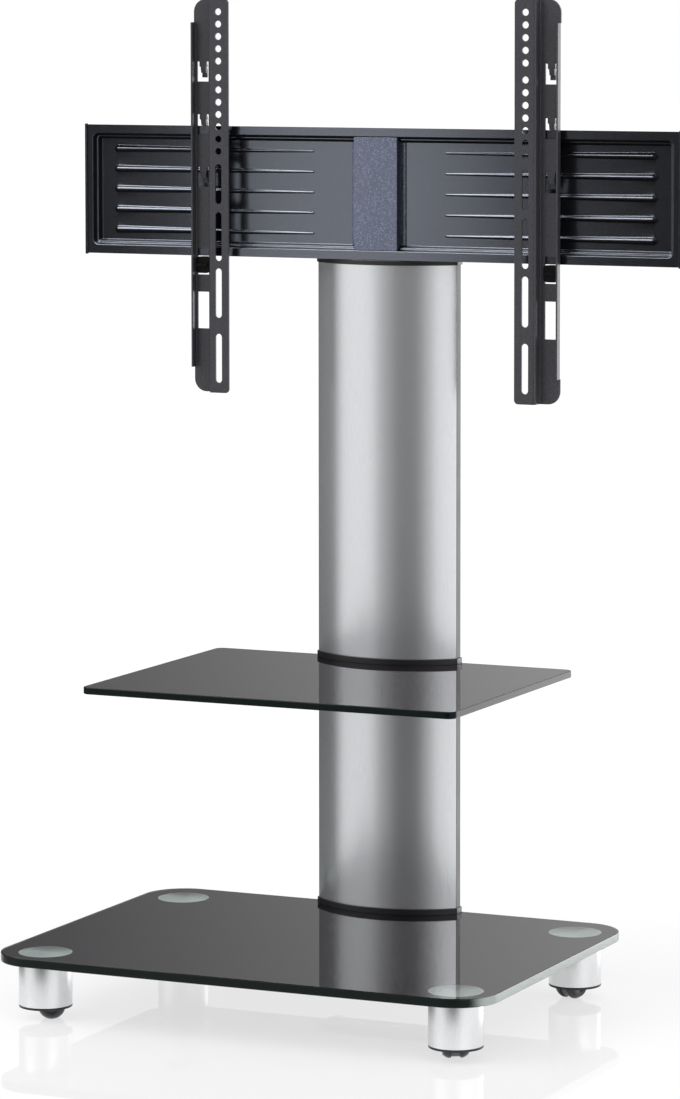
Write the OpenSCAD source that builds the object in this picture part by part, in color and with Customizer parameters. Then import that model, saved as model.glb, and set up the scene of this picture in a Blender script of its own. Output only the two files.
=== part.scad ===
// Television stand on a glass base: four castor feet, a curved aluminium column with a glass
// shelf, and a pressed steel mount plate that carries two sliding screen rails.
// X runs left to right, -Y is the front, Z is up and the floor is at zero.

/* [Base glass] */
// Width of the base glass
base_w = 600; // [500:10:800]
// Depth of the base glass
base_d = 444; // [380:4:600]
// Thickness of the base glass
base_t = 10; // [8:0.5:15]
// Radius of the base glass corners
base_corner_r = 50; // [20:1:60]

/* [Feet] */
// Diameter of the aluminium foot
foot_d = 60; // [58:1:80]
// Distance from the glass edges to the foot axis
foot_inset = 50; // [45:1:70]
// Height of the whole foot from its black ring to the glass
foot_h = 52.5; // [50:0.5:80]
// Gap between the floor and the underside of the foot
ground_gap = 13.5; // [10:0.5:14]
// Wall of the aluminium foot sleeve
sleeve_wall = 3; // [2:0.5:3]
// Thickness of the round plate bonded to the glass
disc_t = 3; // [2:0.5:5]
// Depth of the plate's spigot inside the sleeve
disc_spigot_h = 6; // [4:0.5:8]
// Height of the black ring at the bottom of the foot
ring_h = 2.5; // [1.5:0.5:4]
// Wall of the cup inside the foot
cup_wall = 1.6; // [1.2:0.1:1.8]
// Thickness of the cup's roof, which guides the castor stem
cup_roof_t = 6; // [5:0.5:8]

/* [Castors] */
// Diameter of the castor wheels
wheel_d = 31; // [28:0.5:32]
// Width of one castor wheel
wheel_w = 9; // [7:0.5:9.5]
// Width of the castor body between the two wheels
hood_w = 9; // [7:0.5:9.5]
// Distance from the swivel axis to the wheel axle
castor_trail = 7; // [5:0.5:7.5]
// Diameter of the castor axle
axle_d = 4; // [3:0.5:5]
// Diameter of the castor stem
stem_d = 8; // [7:0.5:10]

/* [Column] */
// Width of the column
col_w = 176; // [160:2:220]
// How far the curved front bulges out of its two edges
col_bulge = 36; // [32:1:45]
// Depth of the straight sides behind the curved front
col_side = 12; // [10:1:20]
// Distance from the rear edge of the base glass to the back of the column
col_back_inset = 5; // [2:1:30]
// Wall of the aluminium shell
shell_wall = 2.5; // [2:0.5:3.5]
// Wall of the rear covers
cover_wall = 2; // [1.5:0.5:2.5]
// Height of the black collars
collar_h = 7; // [6.5:0.5:12]
// How far the collars stand out round the shell
collar_lip = 1.5; // [0.5:0.5:3]
// Height of the black cap on top of the column
cap_h = 5.4; // [4:0.2:8]

/* [Post] */
// Width of the inner steel post
post_w = 60; // [50:2:70]
// Depth of the inner steel post
post_d = 25; // [20:1:26]
// Wall of the inner steel post
post_wall = 2; // [1.5:0.5:3]
// Thickness of the steel foot plate and of the shelf carriers
flange_t = 5; // [4:0.5:5.5]
// Thickness of the rubber gaskets on the glass
gasket_t = 1; // [0.5:0.5:1.5]
// Thread size of the glass bolts
bolt_d = 6; // [5:0.5:6]

/* [Shelf] */
// Width of the glass shelf
shelf_w = 455; // [380:5:600]
// Depth of the glass shelf
shelf_d = 350; // [280:5:420]
// Thickness of the glass shelf
shelf_t = 8; // [6:0.5:10]
// Radius of the shelf corners
shelf_corner_r = 10; // [5:1:40]
// Height of the shelf's upper face above the floor
shelf_top_z = 368.5; // [300:0.5:500]

/* [Mount plate] */
// Width of the mount plate
plate_w = 752; // [700:2:800]
// Height of the mount plate
plate_h = 152; // [146:2:170]
// Height of the plate's lower edge above the floor
plate_z = 837.7; // [780:0.1:900]
// Depth of the pressed tray
plate_depth = 14; // [12:0.5:15]
// Thickness of the pressed sheet
plate_sheet = 2; // [1.5:0.25:2.5]
// Width of the flat rim round the tray
rim_w = 10; // [9:0.5:12]
// Distance from the column's front to the plate's front, backwards
plate_setback = 2.2; // [1:0.1:3]
// Number of pressed beads on each side
bead_count = 5; // [3:1:5]
// Spacing of the beads
bead_pitch = 23.8; // [18:0.2:24]
// Distance from the middle to the outer ends of the beads
bead_outer_x = 338; // [300:2:344]
// Distance from the middle to the inner ends of the beads
bead_inner_x = 84; // [60:2:120]
// Radius of a bead at its outer end
bead_r = 3.6; // [2.5:0.1:4]
// Width of the box bracket in the middle of the plate
box_w = 55; // [53:1:70]
// Height of the box bracket
box_h = 131; // [110:1:132]

/* [Screen rails] */
// Length of a screen rail
rail_len = 459; // [440:1:500]
// Height of the rail's top above the plate's upper edge
rail_rise = 147.8; // [140:0.1:150]
// Distance from the middle to each rail's hole line, as shown
rail_x = 193.2; // [120:0.2:290]
// Thickness of the rail steel
rail_t = 2; // [1.5:0.25:2.5]
// Width of the rail's front flange
rail_face_w = 26; // [22:1:32]
// Depth of the rail from its front flange to the plate
rail_depth = 15.5; // [14:0.5:20]
// Width of the rail's rear strip
rail_strip_w = 25; // [24:1:30]
// Depth of the lip folded forward on the strip's edge
rail_lip = 11; // [8:0.5:12]
// Diameter of the round rail holes and width of the slots
hole_d = 8; // [6:0.5:9]
// Spacing of the round rail holes
hole_pitch = 14.3; // [12:0.1:14.5]

/* [Hidden] */

$fn = 64;
// Extra length of every cutting tool past the face that it cuts
overrun = 1;
// Gap between pieces that are set against each other
seat_gap = 0.3;
// Radial clearance of a shaft in its bore
running_gap = 0.1;
// Radial clearance of a fixed plug in its bore
plug_gap = 0.1;
// Radial clearance of a bolt in its hole through glass
glass_bolt_gap = 1;

// Corner signs of each foot and the way in which its castor stands turned
CORNERS = [[-1, -1, 25], [1, -1, 120], [1, 1, 254], [-1, 1, 200]];

// Feet, worked out from the floor upwards
base_z = ground_gap + foot_h;
base_top = base_z + base_t;
sleeve_r = foot_d / 2;
bore_r = sleeve_r - sleeve_wall;
disc_z = base_z - disc_t;
sleeve_z = ground_gap + ring_h;

// Castors, with the room that the cup leaves them
wheel_r = wheel_d / 2;
cavity_r = bore_r - plug_gap - cup_wall;
turntable_r_share = 0.9;
turntable_r = wheel_r * turntable_r_share;
turntable_t = 3;
turntable_z = wheel_d + seat_gap;
roof_z = turntable_z + turntable_t + seat_gap;
stem_ring_t = 2;
stem_ring_out = 1.2;
stem_ring_z = roof_z + cup_roof_t + seat_gap;
body_r_gap = 1.5;
body_side_gap = 0.5;
neck_back = 5;
neck_front_share = 0.5;
tread_w_share = 0.33;
wheel_outer_r_share = 0.77;
hub_r_share = 0.45;
hub_dish = 0.8;

// Column outline in plan
col_back_y = base_d / 2 - col_back_inset;
col_edge_y = col_back_y - col_side;
col_front_y = col_edge_y - col_bulge;
col_r = (col_w * col_w / 4 + col_bulge * col_bulge) / (2 * col_bulge);
col_axis_y = col_front_y + col_r;
cover_gap = 0.2;
spigot_h = 5;
spigot_wall = 1.6;
collar_inner = shell_wall + seat_gap + spigot_wall;
flange_inset = collar_inner + seat_gap;

// Post
post_cover_gap = 2;
post_back_y = col_back_y - cover_wall - post_cover_gap;
post_front_y = post_back_y - post_d;
post_mid_y = (post_front_y + post_back_y) / 2;
post_top_gap = 5;
post_top = plate_z + plate_h - post_top_gap;
plug_t = 2;
plug_depth = 10;
glass_slot_gap = 3;
glass_slot_r = 5;

// Glass bolts: two beside the post, and at the base two more in front of it
bolt_edge_gap = 26;
bolt_back_gap = 13;
bolt_front_x = 22;
head_r_share = 0.96;
head_h_share = 0.66;
head_r = bolt_d * head_r_share;
head_h = bolt_d * head_h_share;
SIDE_BOLTS = [
    [-col_w / 2 + bolt_edge_gap, col_back_y - bolt_back_gap],
    [col_w / 2 - bolt_edge_gap, col_back_y - bolt_back_gap]
];
FRONT_BOLTS = [
    [-bolt_front_x, post_front_y - head_r - overrun],
    [bolt_front_x, post_front_y - head_r - overrun]
];
BASE_BOLTS = concat(SIDE_BOLTS, FRONT_BOLTS);

// Steel plate under the base glass
clamp_t = 4;
clamp_inset = 12;
clamp_back_gap = 2;
clamp_front_gap = 4;
clamp_w = col_w - 2 * clamp_inset;
clamp_d = col_back_y - clamp_back_gap - col_front_y - clamp_front_gap;
clamp_mid_y = col_back_y - clamp_back_gap - clamp_d / 2;

// Shelf
shelf_z = shelf_top_z - shelf_t;
shelf_mid_y = base_d / 2 - shelf_d / 2;
cheek_h = 30;
cheek_t = 3;
cheek_back_gap = 1;
cheek_screw_d = 6;
cheek_screw_len = 10;

// Column sections
lower_shell_z = base_top + collar_h;
lower_shell_top = shelf_z - collar_h;
upper_shell_z = shelf_top_z + collar_h;
upper_shell_top = plate_z - seat_gap - cap_h;
cable_x = (post_w + col_w) / 4;
cable_gate_share = 0.7;
cable_gate_w = (col_w - post_w) / 2 * cable_gate_share;
cable_gate_h = 30;
cap_hole_share = 0.64;
cap_hole_d = post_d * cap_hole_share;
boss_d = 12;
cover_screw_d = 4;
cover_screw_head_d = 8;
cover_screw_head_h = 2;
cover_screw_len = 8;
cover_screw_inset = 60;

// Mount plate
plate_y = col_front_y + plate_setback;
plate_back_y = plate_y + plate_depth;
floor_y = plate_back_y - plate_sheet;
plate_mid_z = plate_z + plate_h / 2;
plate_top = plate_z + plate_h;
rim_corner_r = 3;
tray_corner_r = 9;
wall_slope = 2.6;
ledge_w = 1.4;
slice_t = 0.01;
end_fold_w = 3;
end_fold_rise = 1.2;
end_fold_front = 1.5;
bead_tip_r = 0.8;
bead_thinning = 0.6;
box_t = 1.5;
box_front_gap = 0.5;
box_y = plate_y + box_front_gap;
box_flange_w = 6.5;
bracket_w = 100;
bracket_h = 120;
bracket_corner_r = 6;
stud_x = 15;
stud_pitch = 80;
stud_d = 8;
stud_head_r = 9;
stud_head_h = 3;
stud_tail = 0.6;
nut_r = 7.4;
nut_h = 6.5;
washer_r = 9;
washer_t = 1.6;

// Rails, measured from the hole line outwards and from the rail's foot upwards
rail_y = plate_y - seat_gap - rail_depth;
rail_z = plate_top + rail_rise - rail_len;
hole_inset = 13.2;
web_x = rail_face_w - hole_inset;
strip_x = web_x + rail_strip_w;
bend_r = 1.2;
bend_out = bend_r + rail_t;
face_corner_r = 5;
strip_corner_r = 15;
lip_low = 29;
lip_high = 27;
first_hole = 14.8;
upper_holes = 5;
lower_holes = 7;
hole_break = 4.8;
top_hole = rail_len - first_hole;
// Slots, as shares of the rail's length: depth of the upper end below the first hole, and length
SLOT_SHARES = [[0.3856, 0.1013], [0.5076, 0.1242], [0.6505, 0.1259], [0.817, 0.125]];
SLOTS = [for (share = SLOT_SHARES) share * rail_len];
window_w = 14.5;
window_shift = 1;
window_x = (web_x + strip_x) / 2 + window_shift;
hook_pitch = 61.5;
hook_count = 3;
hook_rise = 13.4;
hook_window_h = 23.2;
hook_drop = 18.6;
hook_t = 2;
hook_root_w = 9;
hook_tip_w = 6.5;
hook_behind = 0.5;
hook_lead = 4;
hook_shoulder = 2.5;
lock_below = 22;
lock_above = 9;
lock_z = rail_len - rail_rise - plate_h - lock_below;
open_below = 85.2;
open_window_h = 43;
open_z = rail_len - rail_rise - plate_h - open_below;
catch_side_gap = 0.4;
catch_slit = 1.8;
catch_under = 0.8;
catch_reach = 2.4;
catch_shoulder_t = 1.8;
catch_shoulder_out = 1.7;
catch_grip_t = 3;
catch_grip_r = 1.4;
catch_grip_out = 3.2;
catch_corner_r = 4;

// A flat rectangle with true arcs at its corners, centred
module rounded_rect(w, d, r) {
    square([w - 2 * r, d], center = true);
    square([w, d - 2 * r], center = true);
    for (sx = [-1, 1], sy = [-1, 1])
        translate([sx * (w / 2 - r), sy * (d / 2 - r)]) circle(r = r);
}

// Raises a flat X-Z drawing into a plate that starts at the depth y
module along_y(y, t) {
    translate([0, y + t, 0]) rotate([90, 0, 0]) linear_extrude(t) children();
}

// Round holes at a list of places in plan
module holes(places, d) {
    for (p = places) translate(p) circle(d = d);
}

// The column's outline in plan, grown or shrunk all round
module column_outline(grow = 0) {
    intersection() {
        translate([0, col_axis_y]) circle(r = col_r + grow, $fn = 180);
        translate([-col_w / 2 - grow, col_front_y - grow])
            square([col_w + 2 * grow, col_bulge + col_side + 2 * grow]);
    }
}

// The post's outline in plan, grown all round
module post_outline(grow = 0) {
    translate([-post_w / 2 - grow, post_front_y - grow])
        square([post_w + 2 * grow, post_d + 2 * grow]);
}

// Places its children at one corner of the base, on the foot axis
module at_corner(i) {
    x = base_w / 2 - foot_inset;
    y = base_d / 2 - foot_inset;
    translate([CORNERS[i][0] * x, CORNERS[i][1] * y, 0]) children();
}

// Places its children at one castor, turned the way that it stands
module at_castor(i) {
    at_corner(i) rotate([0, 0, CORNERS[i][2]]) children();
}

// Places its children on the axle of one castor, with the axle along Z
module at_axle(i) {
    at_castor(i) translate([castor_trail, 0, wheel_r]) rotate([90, 0, 0]) children();
}

module base_glass() {
    color("#1b181b") translate([0, 0, base_z]) linear_extrude(base_t) difference() {
        rounded_rect(base_w, base_d, base_corner_r);
        holes(BASE_BOLTS, bolt_d + 2 * glass_bolt_gap);
    }
}

module foot_disc(i) {
    color("#b9bdbd") at_corner(i) {
        translate([0, 0, disc_z]) cylinder(r = sleeve_r, h = disc_t);
        translate([0, 0, disc_z - disc_spigot_h]) cylinder(r = bore_r - plug_gap, h = disc_spigot_h);
    }
}

module foot_sleeve(i) {
    color("#cfd2d6") at_corner(i) translate([0, 0, sleeve_z]) difference() {
        cylinder(r = sleeve_r, h = disc_z - sleeve_z);
        translate([0, 0, -overrun]) cylinder(r = bore_r, h = foot_h + 2 * overrun);
    }
}

// The black ring under the sleeve and the cup above it that carries the castor
module foot_cup(i) {
    color("#161616") at_corner(i) difference() {
        union() {
            translate([0, 0, ground_gap]) cylinder(r = sleeve_r - plug_gap, h = ring_h);
            translate([0, 0, sleeve_z])
                cylinder(r = bore_r - plug_gap, h = roof_z + cup_roof_t - sleeve_z);
        }
        translate([0, 0, ground_gap - overrun])
            cylinder(r = cavity_r, h = roof_z - ground_gap + overrun);
        translate([0, 0, roof_z - overrun])
            cylinder(r = stem_d / 2 + running_gap, h = cup_roof_t + 2 * overrun);
    }
}

module castor_body(i) {
    body_r = wheel_r - body_r_gap;
    stem_top = stem_ring_z + stem_ring_t;
    color("#9a9da0") difference() {
        union() {
            at_axle(i) cylinder(r = body_r, h = hood_w, center = true);
            at_castor(i) {
                translate([-neck_back, -hood_w / 2, wheel_r]) cube([
                    neck_back + castor_trail + body_r * neck_front_share, hood_w, turntable_z - wheel_r
                ]);
                translate([0, 0, turntable_z]) cylinder(r = turntable_r, h = turntable_t);
                translate([0, 0, turntable_z]) cylinder(d = stem_d, h = stem_top - turntable_z);
                translate([0, 0, stem_ring_z]) cylinder(r = stem_d / 2 + stem_ring_out, h = stem_ring_t);
            }
        }
        at_axle(i) cylinder(r = axle_d / 2 + running_gap, h = hood_w + 2 * overrun, center = true);
    }
}

// One castor wheel, its inner face at zero, with a flat tread and a domed outer face
module castor_wheel() {
    tread_w = wheel_w * tread_w_share;
    outer_r = wheel_r * wheel_outer_r_share;
    dome_z = (tread_w * tread_w - wheel_w * wheel_w + wheel_r * wheel_r - outer_r * outer_r)
        / (2 * (tread_w - wheel_w));
    dome_r = sqrt(wheel_r * wheel_r + (tread_w - dome_z) * (tread_w - dome_z));
    difference() {
        intersection() {
            cylinder(r = wheel_r, h = wheel_w);
            translate([0, 0, dome_z]) sphere(r = dome_r);
        }
        translate([0, 0, -overrun]) cylinder(r = axle_d / 2 + plug_gap, h = wheel_w + 2 * overrun);
        translate([0, 0, wheel_w - hub_dish])
            cylinder(r = wheel_r * hub_r_share, h = hub_dish + overrun);
    }
}

module castor_wheels(i) {
    color("#2b2c2e") at_axle(i) for (turn = [0, 180]) rotate([turn, 0, 0])
        translate([0, 0, hood_w / 2 + body_side_gap]) castor_wheel();
}

module castor_axle(i) {
    len = hood_w + 2 * (body_side_gap + wheel_w - hub_dish);
    color("#8b8d90") at_axle(i) cylinder(d = axle_d, h = len, center = true);
}

// The outline of the steel plate under the base glass
module clamp_outline() {
    translate([0, clamp_mid_y]) rounded_rect(clamp_w, clamp_d, clamp_inset / 2);
}

module base_clamp_plate() {
    color("#1c1c1e") translate([0, 0, base_z - gasket_t - clamp_t]) linear_extrude(clamp_t)
        difference() {
            clamp_outline();
            holes(BASE_BOLTS, bolt_d + 2 * running_gap);
        }
}

module base_gaskets() {
    color("#101010") {
        translate([0, 0, base_z - gasket_t]) linear_extrude(gasket_t) difference() {
            clamp_outline();
            holes(BASE_BOLTS, bolt_d + 2 * glass_bolt_gap);
        }
        translate([0, 0, base_top]) linear_extrude(gasket_t) difference() {
            column_outline(-flange_inset);
            holes(BASE_BOLTS, bolt_d + 2 * glass_bolt_gap);
        }
    }
}

// A hexagon bolt that points up from its head
module hex_bolt(len) {
    translate([0, 0, -head_h]) cylinder(r = head_r, h = head_h, $fn = 6);
    cylinder(d = bolt_d, h = len);
}

module base_bolts() {
    z = base_z - gasket_t - clamp_t;
    color("#85878a") for (p = BASE_BOLTS)
        translate([p[0], p[1], z]) hex_bolt(clamp_t + base_t + 2 * gasket_t + flange_t);
}

// A steel plate that fills the column's plan at the height z
module flange_plate(z, bolts, post_hole) {
    translate([0, 0, z]) linear_extrude(flange_t) difference() {
        column_outline(-flange_inset);
        holes(bolts, bolt_d + 2 * running_gap);
        if (post_hole) post_outline(running_gap);
    }
}

// Places its children on the four studs, pointing backwards from the tray's floor
module at_studs() {
    for (sx = [-1, 1], sz = [-1, 1])
        translate([sx * stud_x, floor_y, plate_mid_z + sz * stud_pitch / 2])
            rotate([-90, 0, 0]) children();
}

// Heights of the two screws of a rear cover between two heights
function cover_screws_z(z0, z1) = [z0 + cover_screw_inset, z1 - cover_screw_inset];

// Heights of all the rear cover screws
function all_cover_screws_z() = concat(
    cover_screws_z(lower_shell_z, lower_shell_top), cover_screws_z(upper_shell_z, upper_shell_top)
);

// Places its children at both sides of the post, pointing inwards at the carrier's cheeks
module at_cheeks() {
    z = shelf_z - gasket_t - flange_t - cheek_h / 2;
    for (sx = [-1, 1]) translate([sx * (post_w / 2 + running_gap + cheek_t), post_mid_y, z])
        rotate([0, -sx * 90, 0]) children();
}

// The plate that the post is welded to, bolted through the base glass
module post_foot_plate() {
    color("#2a2b2d") flange_plate(base_top + gasket_t, BASE_BOLTS, post_hole = false);
}

module post() {
    z = base_top + gasket_t + flange_t;
    color("#2a2b2d") difference() {
        translate([0, 0, z]) linear_extrude(post_top - z) difference() {
            post_outline();
            post_outline(-post_wall);
        }
        at_studs() cylinder(r = stud_d / 2 + running_gap, h = plate_depth + post_d + stud_d);
        for (z = all_cover_screws_z()) translate([0, post_back_y + overrun, z]) rotate([90, 0, 0])
            cylinder(r = cover_screw_d / 2 + running_gap, h = post_wall + 2 * overrun);
        at_cheeks() cylinder(r = cheek_screw_d / 2 + running_gap, h = cheek_screw_len + overrun);
    }
}

module post_plug() {
    color("#141414") {
        translate([0, 0, post_top]) linear_extrude(plug_t) post_outline();
        translate([0, 0, post_top - plug_depth]) linear_extrude(plug_depth)
            post_outline(-post_wall - plug_gap);
    }
}

// The thin ring inside the curved shell that locates it
module spigot(z) {
    translate([0, 0, z]) linear_extrude(spigot_h) difference() {
        column_outline(-shell_wall - seat_gap);
        column_outline(-collar_inner);
        translate([-col_w / 2, col_edge_y - seat_gap]) square([col_w, col_side + overrun]);
    }
}

// A black collar; its spigot points up into the shell above, or down into the one below
module collar(z, spigot_up) {
    color("#131314") {
        translate([0, 0, z]) linear_extrude(collar_h) difference() {
            column_outline(collar_lip);
            column_outline(-collar_inner);
            post_outline(seat_gap);
        }
        spigot(spigot_up ? z + collar_h : z - spigot_h);
    }
}

// The curved aluminium front between two heights
module shell(z0, z1) {
    color("#a9adb1") translate([0, 0, z0]) linear_extrude(z1 - z0) difference() {
        column_outline();
        column_outline(-shell_wall);
        translate([-col_w / 2 - overrun, col_edge_y]) square([col_w + 2 * overrun, col_side + overrun]);
    }
}

// The channel that closes the back of the column, with cable gates at the heights listed
module rear_cover(z0, z1, gates) {
    boss_y = post_back_y + cover_gap;
    color("#47484b") difference() {
        union() {
            translate([0, 0, z0]) linear_extrude(z1 - z0) difference() {
                column_outline();
                translate([-col_w / 2 + cover_wall, col_front_y])
                    square([col_w - 2 * cover_wall, col_bulge + col_side - cover_wall]);
                translate([-col_w / 2 - overrun, col_front_y - overrun])
                    square([col_w + 2 * overrun, col_bulge + overrun + cover_gap]);
            }
            for (z = cover_screws_z(z0, z1)) translate([0, boss_y, z]) rotate([-90, 0, 0])
                cylinder(d = boss_d, h = col_back_y - boss_y - cover_wall / 2);
        }
        for (z = cover_screws_z(z0, z1)) translate([0, post_back_y, z]) rotate([-90, 0, 0])
            cylinder(r = cover_screw_d / 2 + running_gap, h = col_side);
        for (sx = [-1, 1], z = gates)
            translate([sx * cable_x - cable_gate_w / 2, col_back_y - cover_wall - overrun, z])
                cube([cable_gate_w, cover_wall + 2 * overrun, cable_gate_h + overrun]);
    }
}

module lower_rear_cover() {
    rear_cover(lower_shell_z, lower_shell_top, [lower_shell_z - overrun, lower_shell_top - cable_gate_h]);
}

module upper_rear_cover() {
    rear_cover(upper_shell_z, upper_shell_top, [upper_shell_z - overrun]);
}

module cover_screws() {
    color("#3a3b3d") for (z = all_cover_screws_z())
        translate([0, col_back_y, z]) rotate([90, 0, 0]) {
            translate([0, 0, -cover_screw_head_h]) cylinder(d = cover_screw_head_d, h = cover_screw_head_h);
            cylinder(d = cover_screw_d, h = cover_screw_len);
        }
}

// The plate under the shelf glass, with two cheeks that are screwed to the post
module shelf_carrier() {
    z = shelf_z - gasket_t - flange_t;
    color("#2a2b2d") difference() {
        union() {
            flange_plate(z, SIDE_BOLTS, post_hole = true);
            for (sx = [0, 1]) mirror([sx, 0, 0])
                translate([post_w / 2 + running_gap, post_front_y, z - cheek_h])
                    cube([cheek_t, post_d - cheek_back_gap, cheek_h + slice_t]);
        }
        at_cheeks() translate([0, 0, -overrun])
            cylinder(r = cheek_screw_d / 2 + running_gap, h = cheek_t + 2 * overrun);
    }
}

module shelf_carrier_screws() {
    color("#85878a") at_cheeks() {
        translate([0, 0, -cheek_screw_d * head_h_share])
            cylinder(r = cheek_screw_d * head_r_share, h = cheek_screw_d * head_h_share);
        cylinder(d = cheek_screw_d, h = cheek_screw_len);
    }
}

module shelf_clamp_plate() {
    color("#2a2b2d") flange_plate(shelf_top_z + gasket_t, SIDE_BOLTS, post_hole = true);
}

module shelf_gaskets() {
    color("#101010") for (z = [shelf_z - gasket_t, shelf_top_z])
        translate([0, 0, z]) linear_extrude(gasket_t) difference() {
            column_outline(-flange_inset);
            holes(SIDE_BOLTS, bolt_d + 2 * glass_bolt_gap);
            post_outline(glass_slot_gap);
        }
}

module shelf_glass() {
    color("#1b181b") translate([0, 0, shelf_z]) linear_extrude(shelf_t) difference() {
        translate([0, shelf_mid_y]) rounded_rect(shelf_w, shelf_d, shelf_corner_r);
        holes(SIDE_BOLTS, bolt_d + 2 * glass_bolt_gap);
        translate([0, post_mid_y])
            rounded_rect(post_w + 2 * glass_slot_gap, post_d + 2 * glass_slot_gap, glass_slot_r);
    }
}

module shelf_bolts() {
    z = shelf_z - gasket_t - flange_t;
    color("#85878a") for (p = SIDE_BOLTS)
        translate([p[0], p[1], z]) hex_bolt(shelf_t + 2 * gasket_t + 2 * flange_t);
}

module top_cap() {
    color("#131314") {
        translate([0, 0, upper_shell_top]) linear_extrude(cap_h) difference() {
            column_outline(collar_lip);
            post_outline(seat_gap);
            holes([[-cable_x, post_mid_y], [cable_x, post_mid_y]], cap_hole_d);
        }
        spigot(upper_shell_top - spigot_h);
    }
}

// The spacer plate between the tray and the post
module post_bracket() {
    color("#2a2b2d") difference() {
        translate([0, 0, plate_mid_z]) along_y(plate_back_y, post_front_y - plate_back_y)
            rounded_rect(bracket_w, bracket_h, bracket_corner_r);
        at_studs() cylinder(r = stud_d / 2 + running_gap, h = plate_depth + stud_d);
    }
}

// One bead along X, round at its outer end and drawn out to a tip at its inner end
module bead(thinning) {
    r = bead_r - thinning;
    translate([bead_outer_x, floor_y, 0]) {
        rotate([0, -90, 0])
            cylinder(r1 = r, r2 = bead_tip_r - thinning, h = bead_outer_x - bead_inner_x);
        sphere(r = r);
    }
}

module beads(thinning = 0) {
    for (sx = [0, 1], k = [0 : bead_count - 1])
        translate([0, 0, plate_mid_z + (k - (bead_count - 1) / 2) * bead_pitch])
            mirror([sx, 0, 0]) bead(thinning);
}

// One drawn step of the tray, narrowing from the depth y0 to y1
module tray_step(y0, y1, inset) {
    deep = inset + wall_slope;
    hull() {
        translate([0, 0, plate_mid_z]) along_y(y0, slice_t)
            rounded_rect(plate_w - 2 * inset, plate_h - 2 * inset, tray_corner_r, $fn = 32);
        translate([0, 0, plate_mid_z]) along_y(y1 - slice_t, slice_t)
            rounded_rect(plate_w - 2 * deep, plate_h - 2 * deep, tray_corner_r - wall_slope, $fn = 32);
    }
}

// The pressed bowl of the tray: two sloping steps with a narrow ledge between them
module tray_bowl(y0, y2, inset) {
    y1 = (y0 + y2) / 2;
    tray_step(y0, y1 + slice_t, inset);
    tray_step(y1, y2, inset + wall_slope + ledge_w);
}

module mount_plate() {
    color("#23242a") difference() {
        union() {
            translate([0, 0, plate_mid_z]) along_y(plate_y, plate_sheet)
                rounded_rect(plate_w, plate_h, rim_corner_r);
            tray_bowl(plate_y + plate_sheet / 2, plate_back_y, rim_w - plate_sheet);
            for (sx = [0, 1]) mirror([sx, 0, 0]) translate([
                plate_w / 2 - end_fold_w, plate_y - end_fold_front, plate_z - end_fold_rise
            ]) cube([end_fold_w, end_fold_front + plate_sheet, plate_h + 2 * end_fold_rise]);
        }
        difference() {
            tray_bowl(plate_y - slice_t, floor_y, rim_w);
            beads();
        }
        translate([0, plate_sheet, 0]) beads(bead_thinning);
        at_studs() translate([0, 0, -overrun])
            cylinder(r = stud_d / 2 + running_gap, h = plate_sheet + 2 * overrun);
    }
}

// The hat-shaped box welded in front of the tray's floor, its ends cut to the tray's walls
module box_bracket() {
    color("#4a4f5e") intersection() {
        union() {
            translate([0, 0, plate_mid_z - box_h / 2]) linear_extrude(box_h) difference() {
                translate([-box_w / 2, box_y]) square([box_w, floor_y - box_y]);
                translate([-box_w / 2 + box_t, box_y + box_t])
                    square([box_w - 2 * box_t, plate_depth]);
            }
            for (sx = [0, 1]) mirror([sx, 0, 0]) translate([box_w / 2 - slice_t, 0, plate_mid_z])
                along_y(floor_y - box_t, box_t)
                    translate([0, -box_h / 2]) square([box_flange_w, box_h]);
        }
        tray_bowl(plate_y, floor_y, rim_w + seat_gap);
    }
}

// Length of the studs through the tray's floor, the bracket and the post
stud_grip = plate_sheet + post_back_y - plate_back_y;

module plate_bolts() {
    color("#85878a") at_studs() {
        translate([0, 0, -stud_head_h]) cylinder(r = stud_head_r, h = stud_head_h);
        cylinder(d = stud_d, h = stud_grip + washer_t + nut_h + stud_tail);
    }
}

module plate_nuts() {
    color("#85878a") at_studs() translate([0, 0, stud_grip]) difference() {
        union() {
            cylinder(r = washer_r, h = washer_t);
            translate([0, 0, washer_t]) cylinder(r = nut_r, h = nut_h, $fn = 6);
        }
        translate([0, 0, -overrun])
            cylinder(r = stud_d / 2 + plug_gap, h = washer_t + nut_h + 2 * overrun);
    }
}

// A quarter ring that rounds a bend of the sheet, on the side of its centre that sx, sy name
module bend(sx, sy) {
    intersection() {
        difference() {
            circle(r = bend_out);
            circle(r = bend_r);
        }
        translate([sx > 0 ? 0 : -bend_out, sy > 0 ? 0 : -bend_out]) square(bend_out);
    }
}

// The rail's section from its front flange through the web to the rear strip and its lip
module rail_section(lip) {
    strip_start = web_x - rail_t + bend_out;
    strip_end = lip ? strip_x - bend_out : strip_x;
    translate([-hole_inset, 0]) square([rail_face_w - bend_out, rail_t]);
    translate([web_x - bend_out, bend_out]) bend(1, -1);
    translate([web_x - rail_t, bend_out]) square([rail_t, rail_depth - 2 * bend_out]);
    translate([strip_start, rail_depth - bend_out]) bend(-1, 1);
    translate([strip_start, rail_depth - rail_t]) square([strip_end - strip_start, rail_t]);
    if (lip) {
        translate([strip_end, rail_depth - bend_out]) bend(1, 1);
        translate([strip_x - rail_t, rail_depth - rail_lip]) square([rail_t, rail_lip - bend_out]);
    }
}

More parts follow.
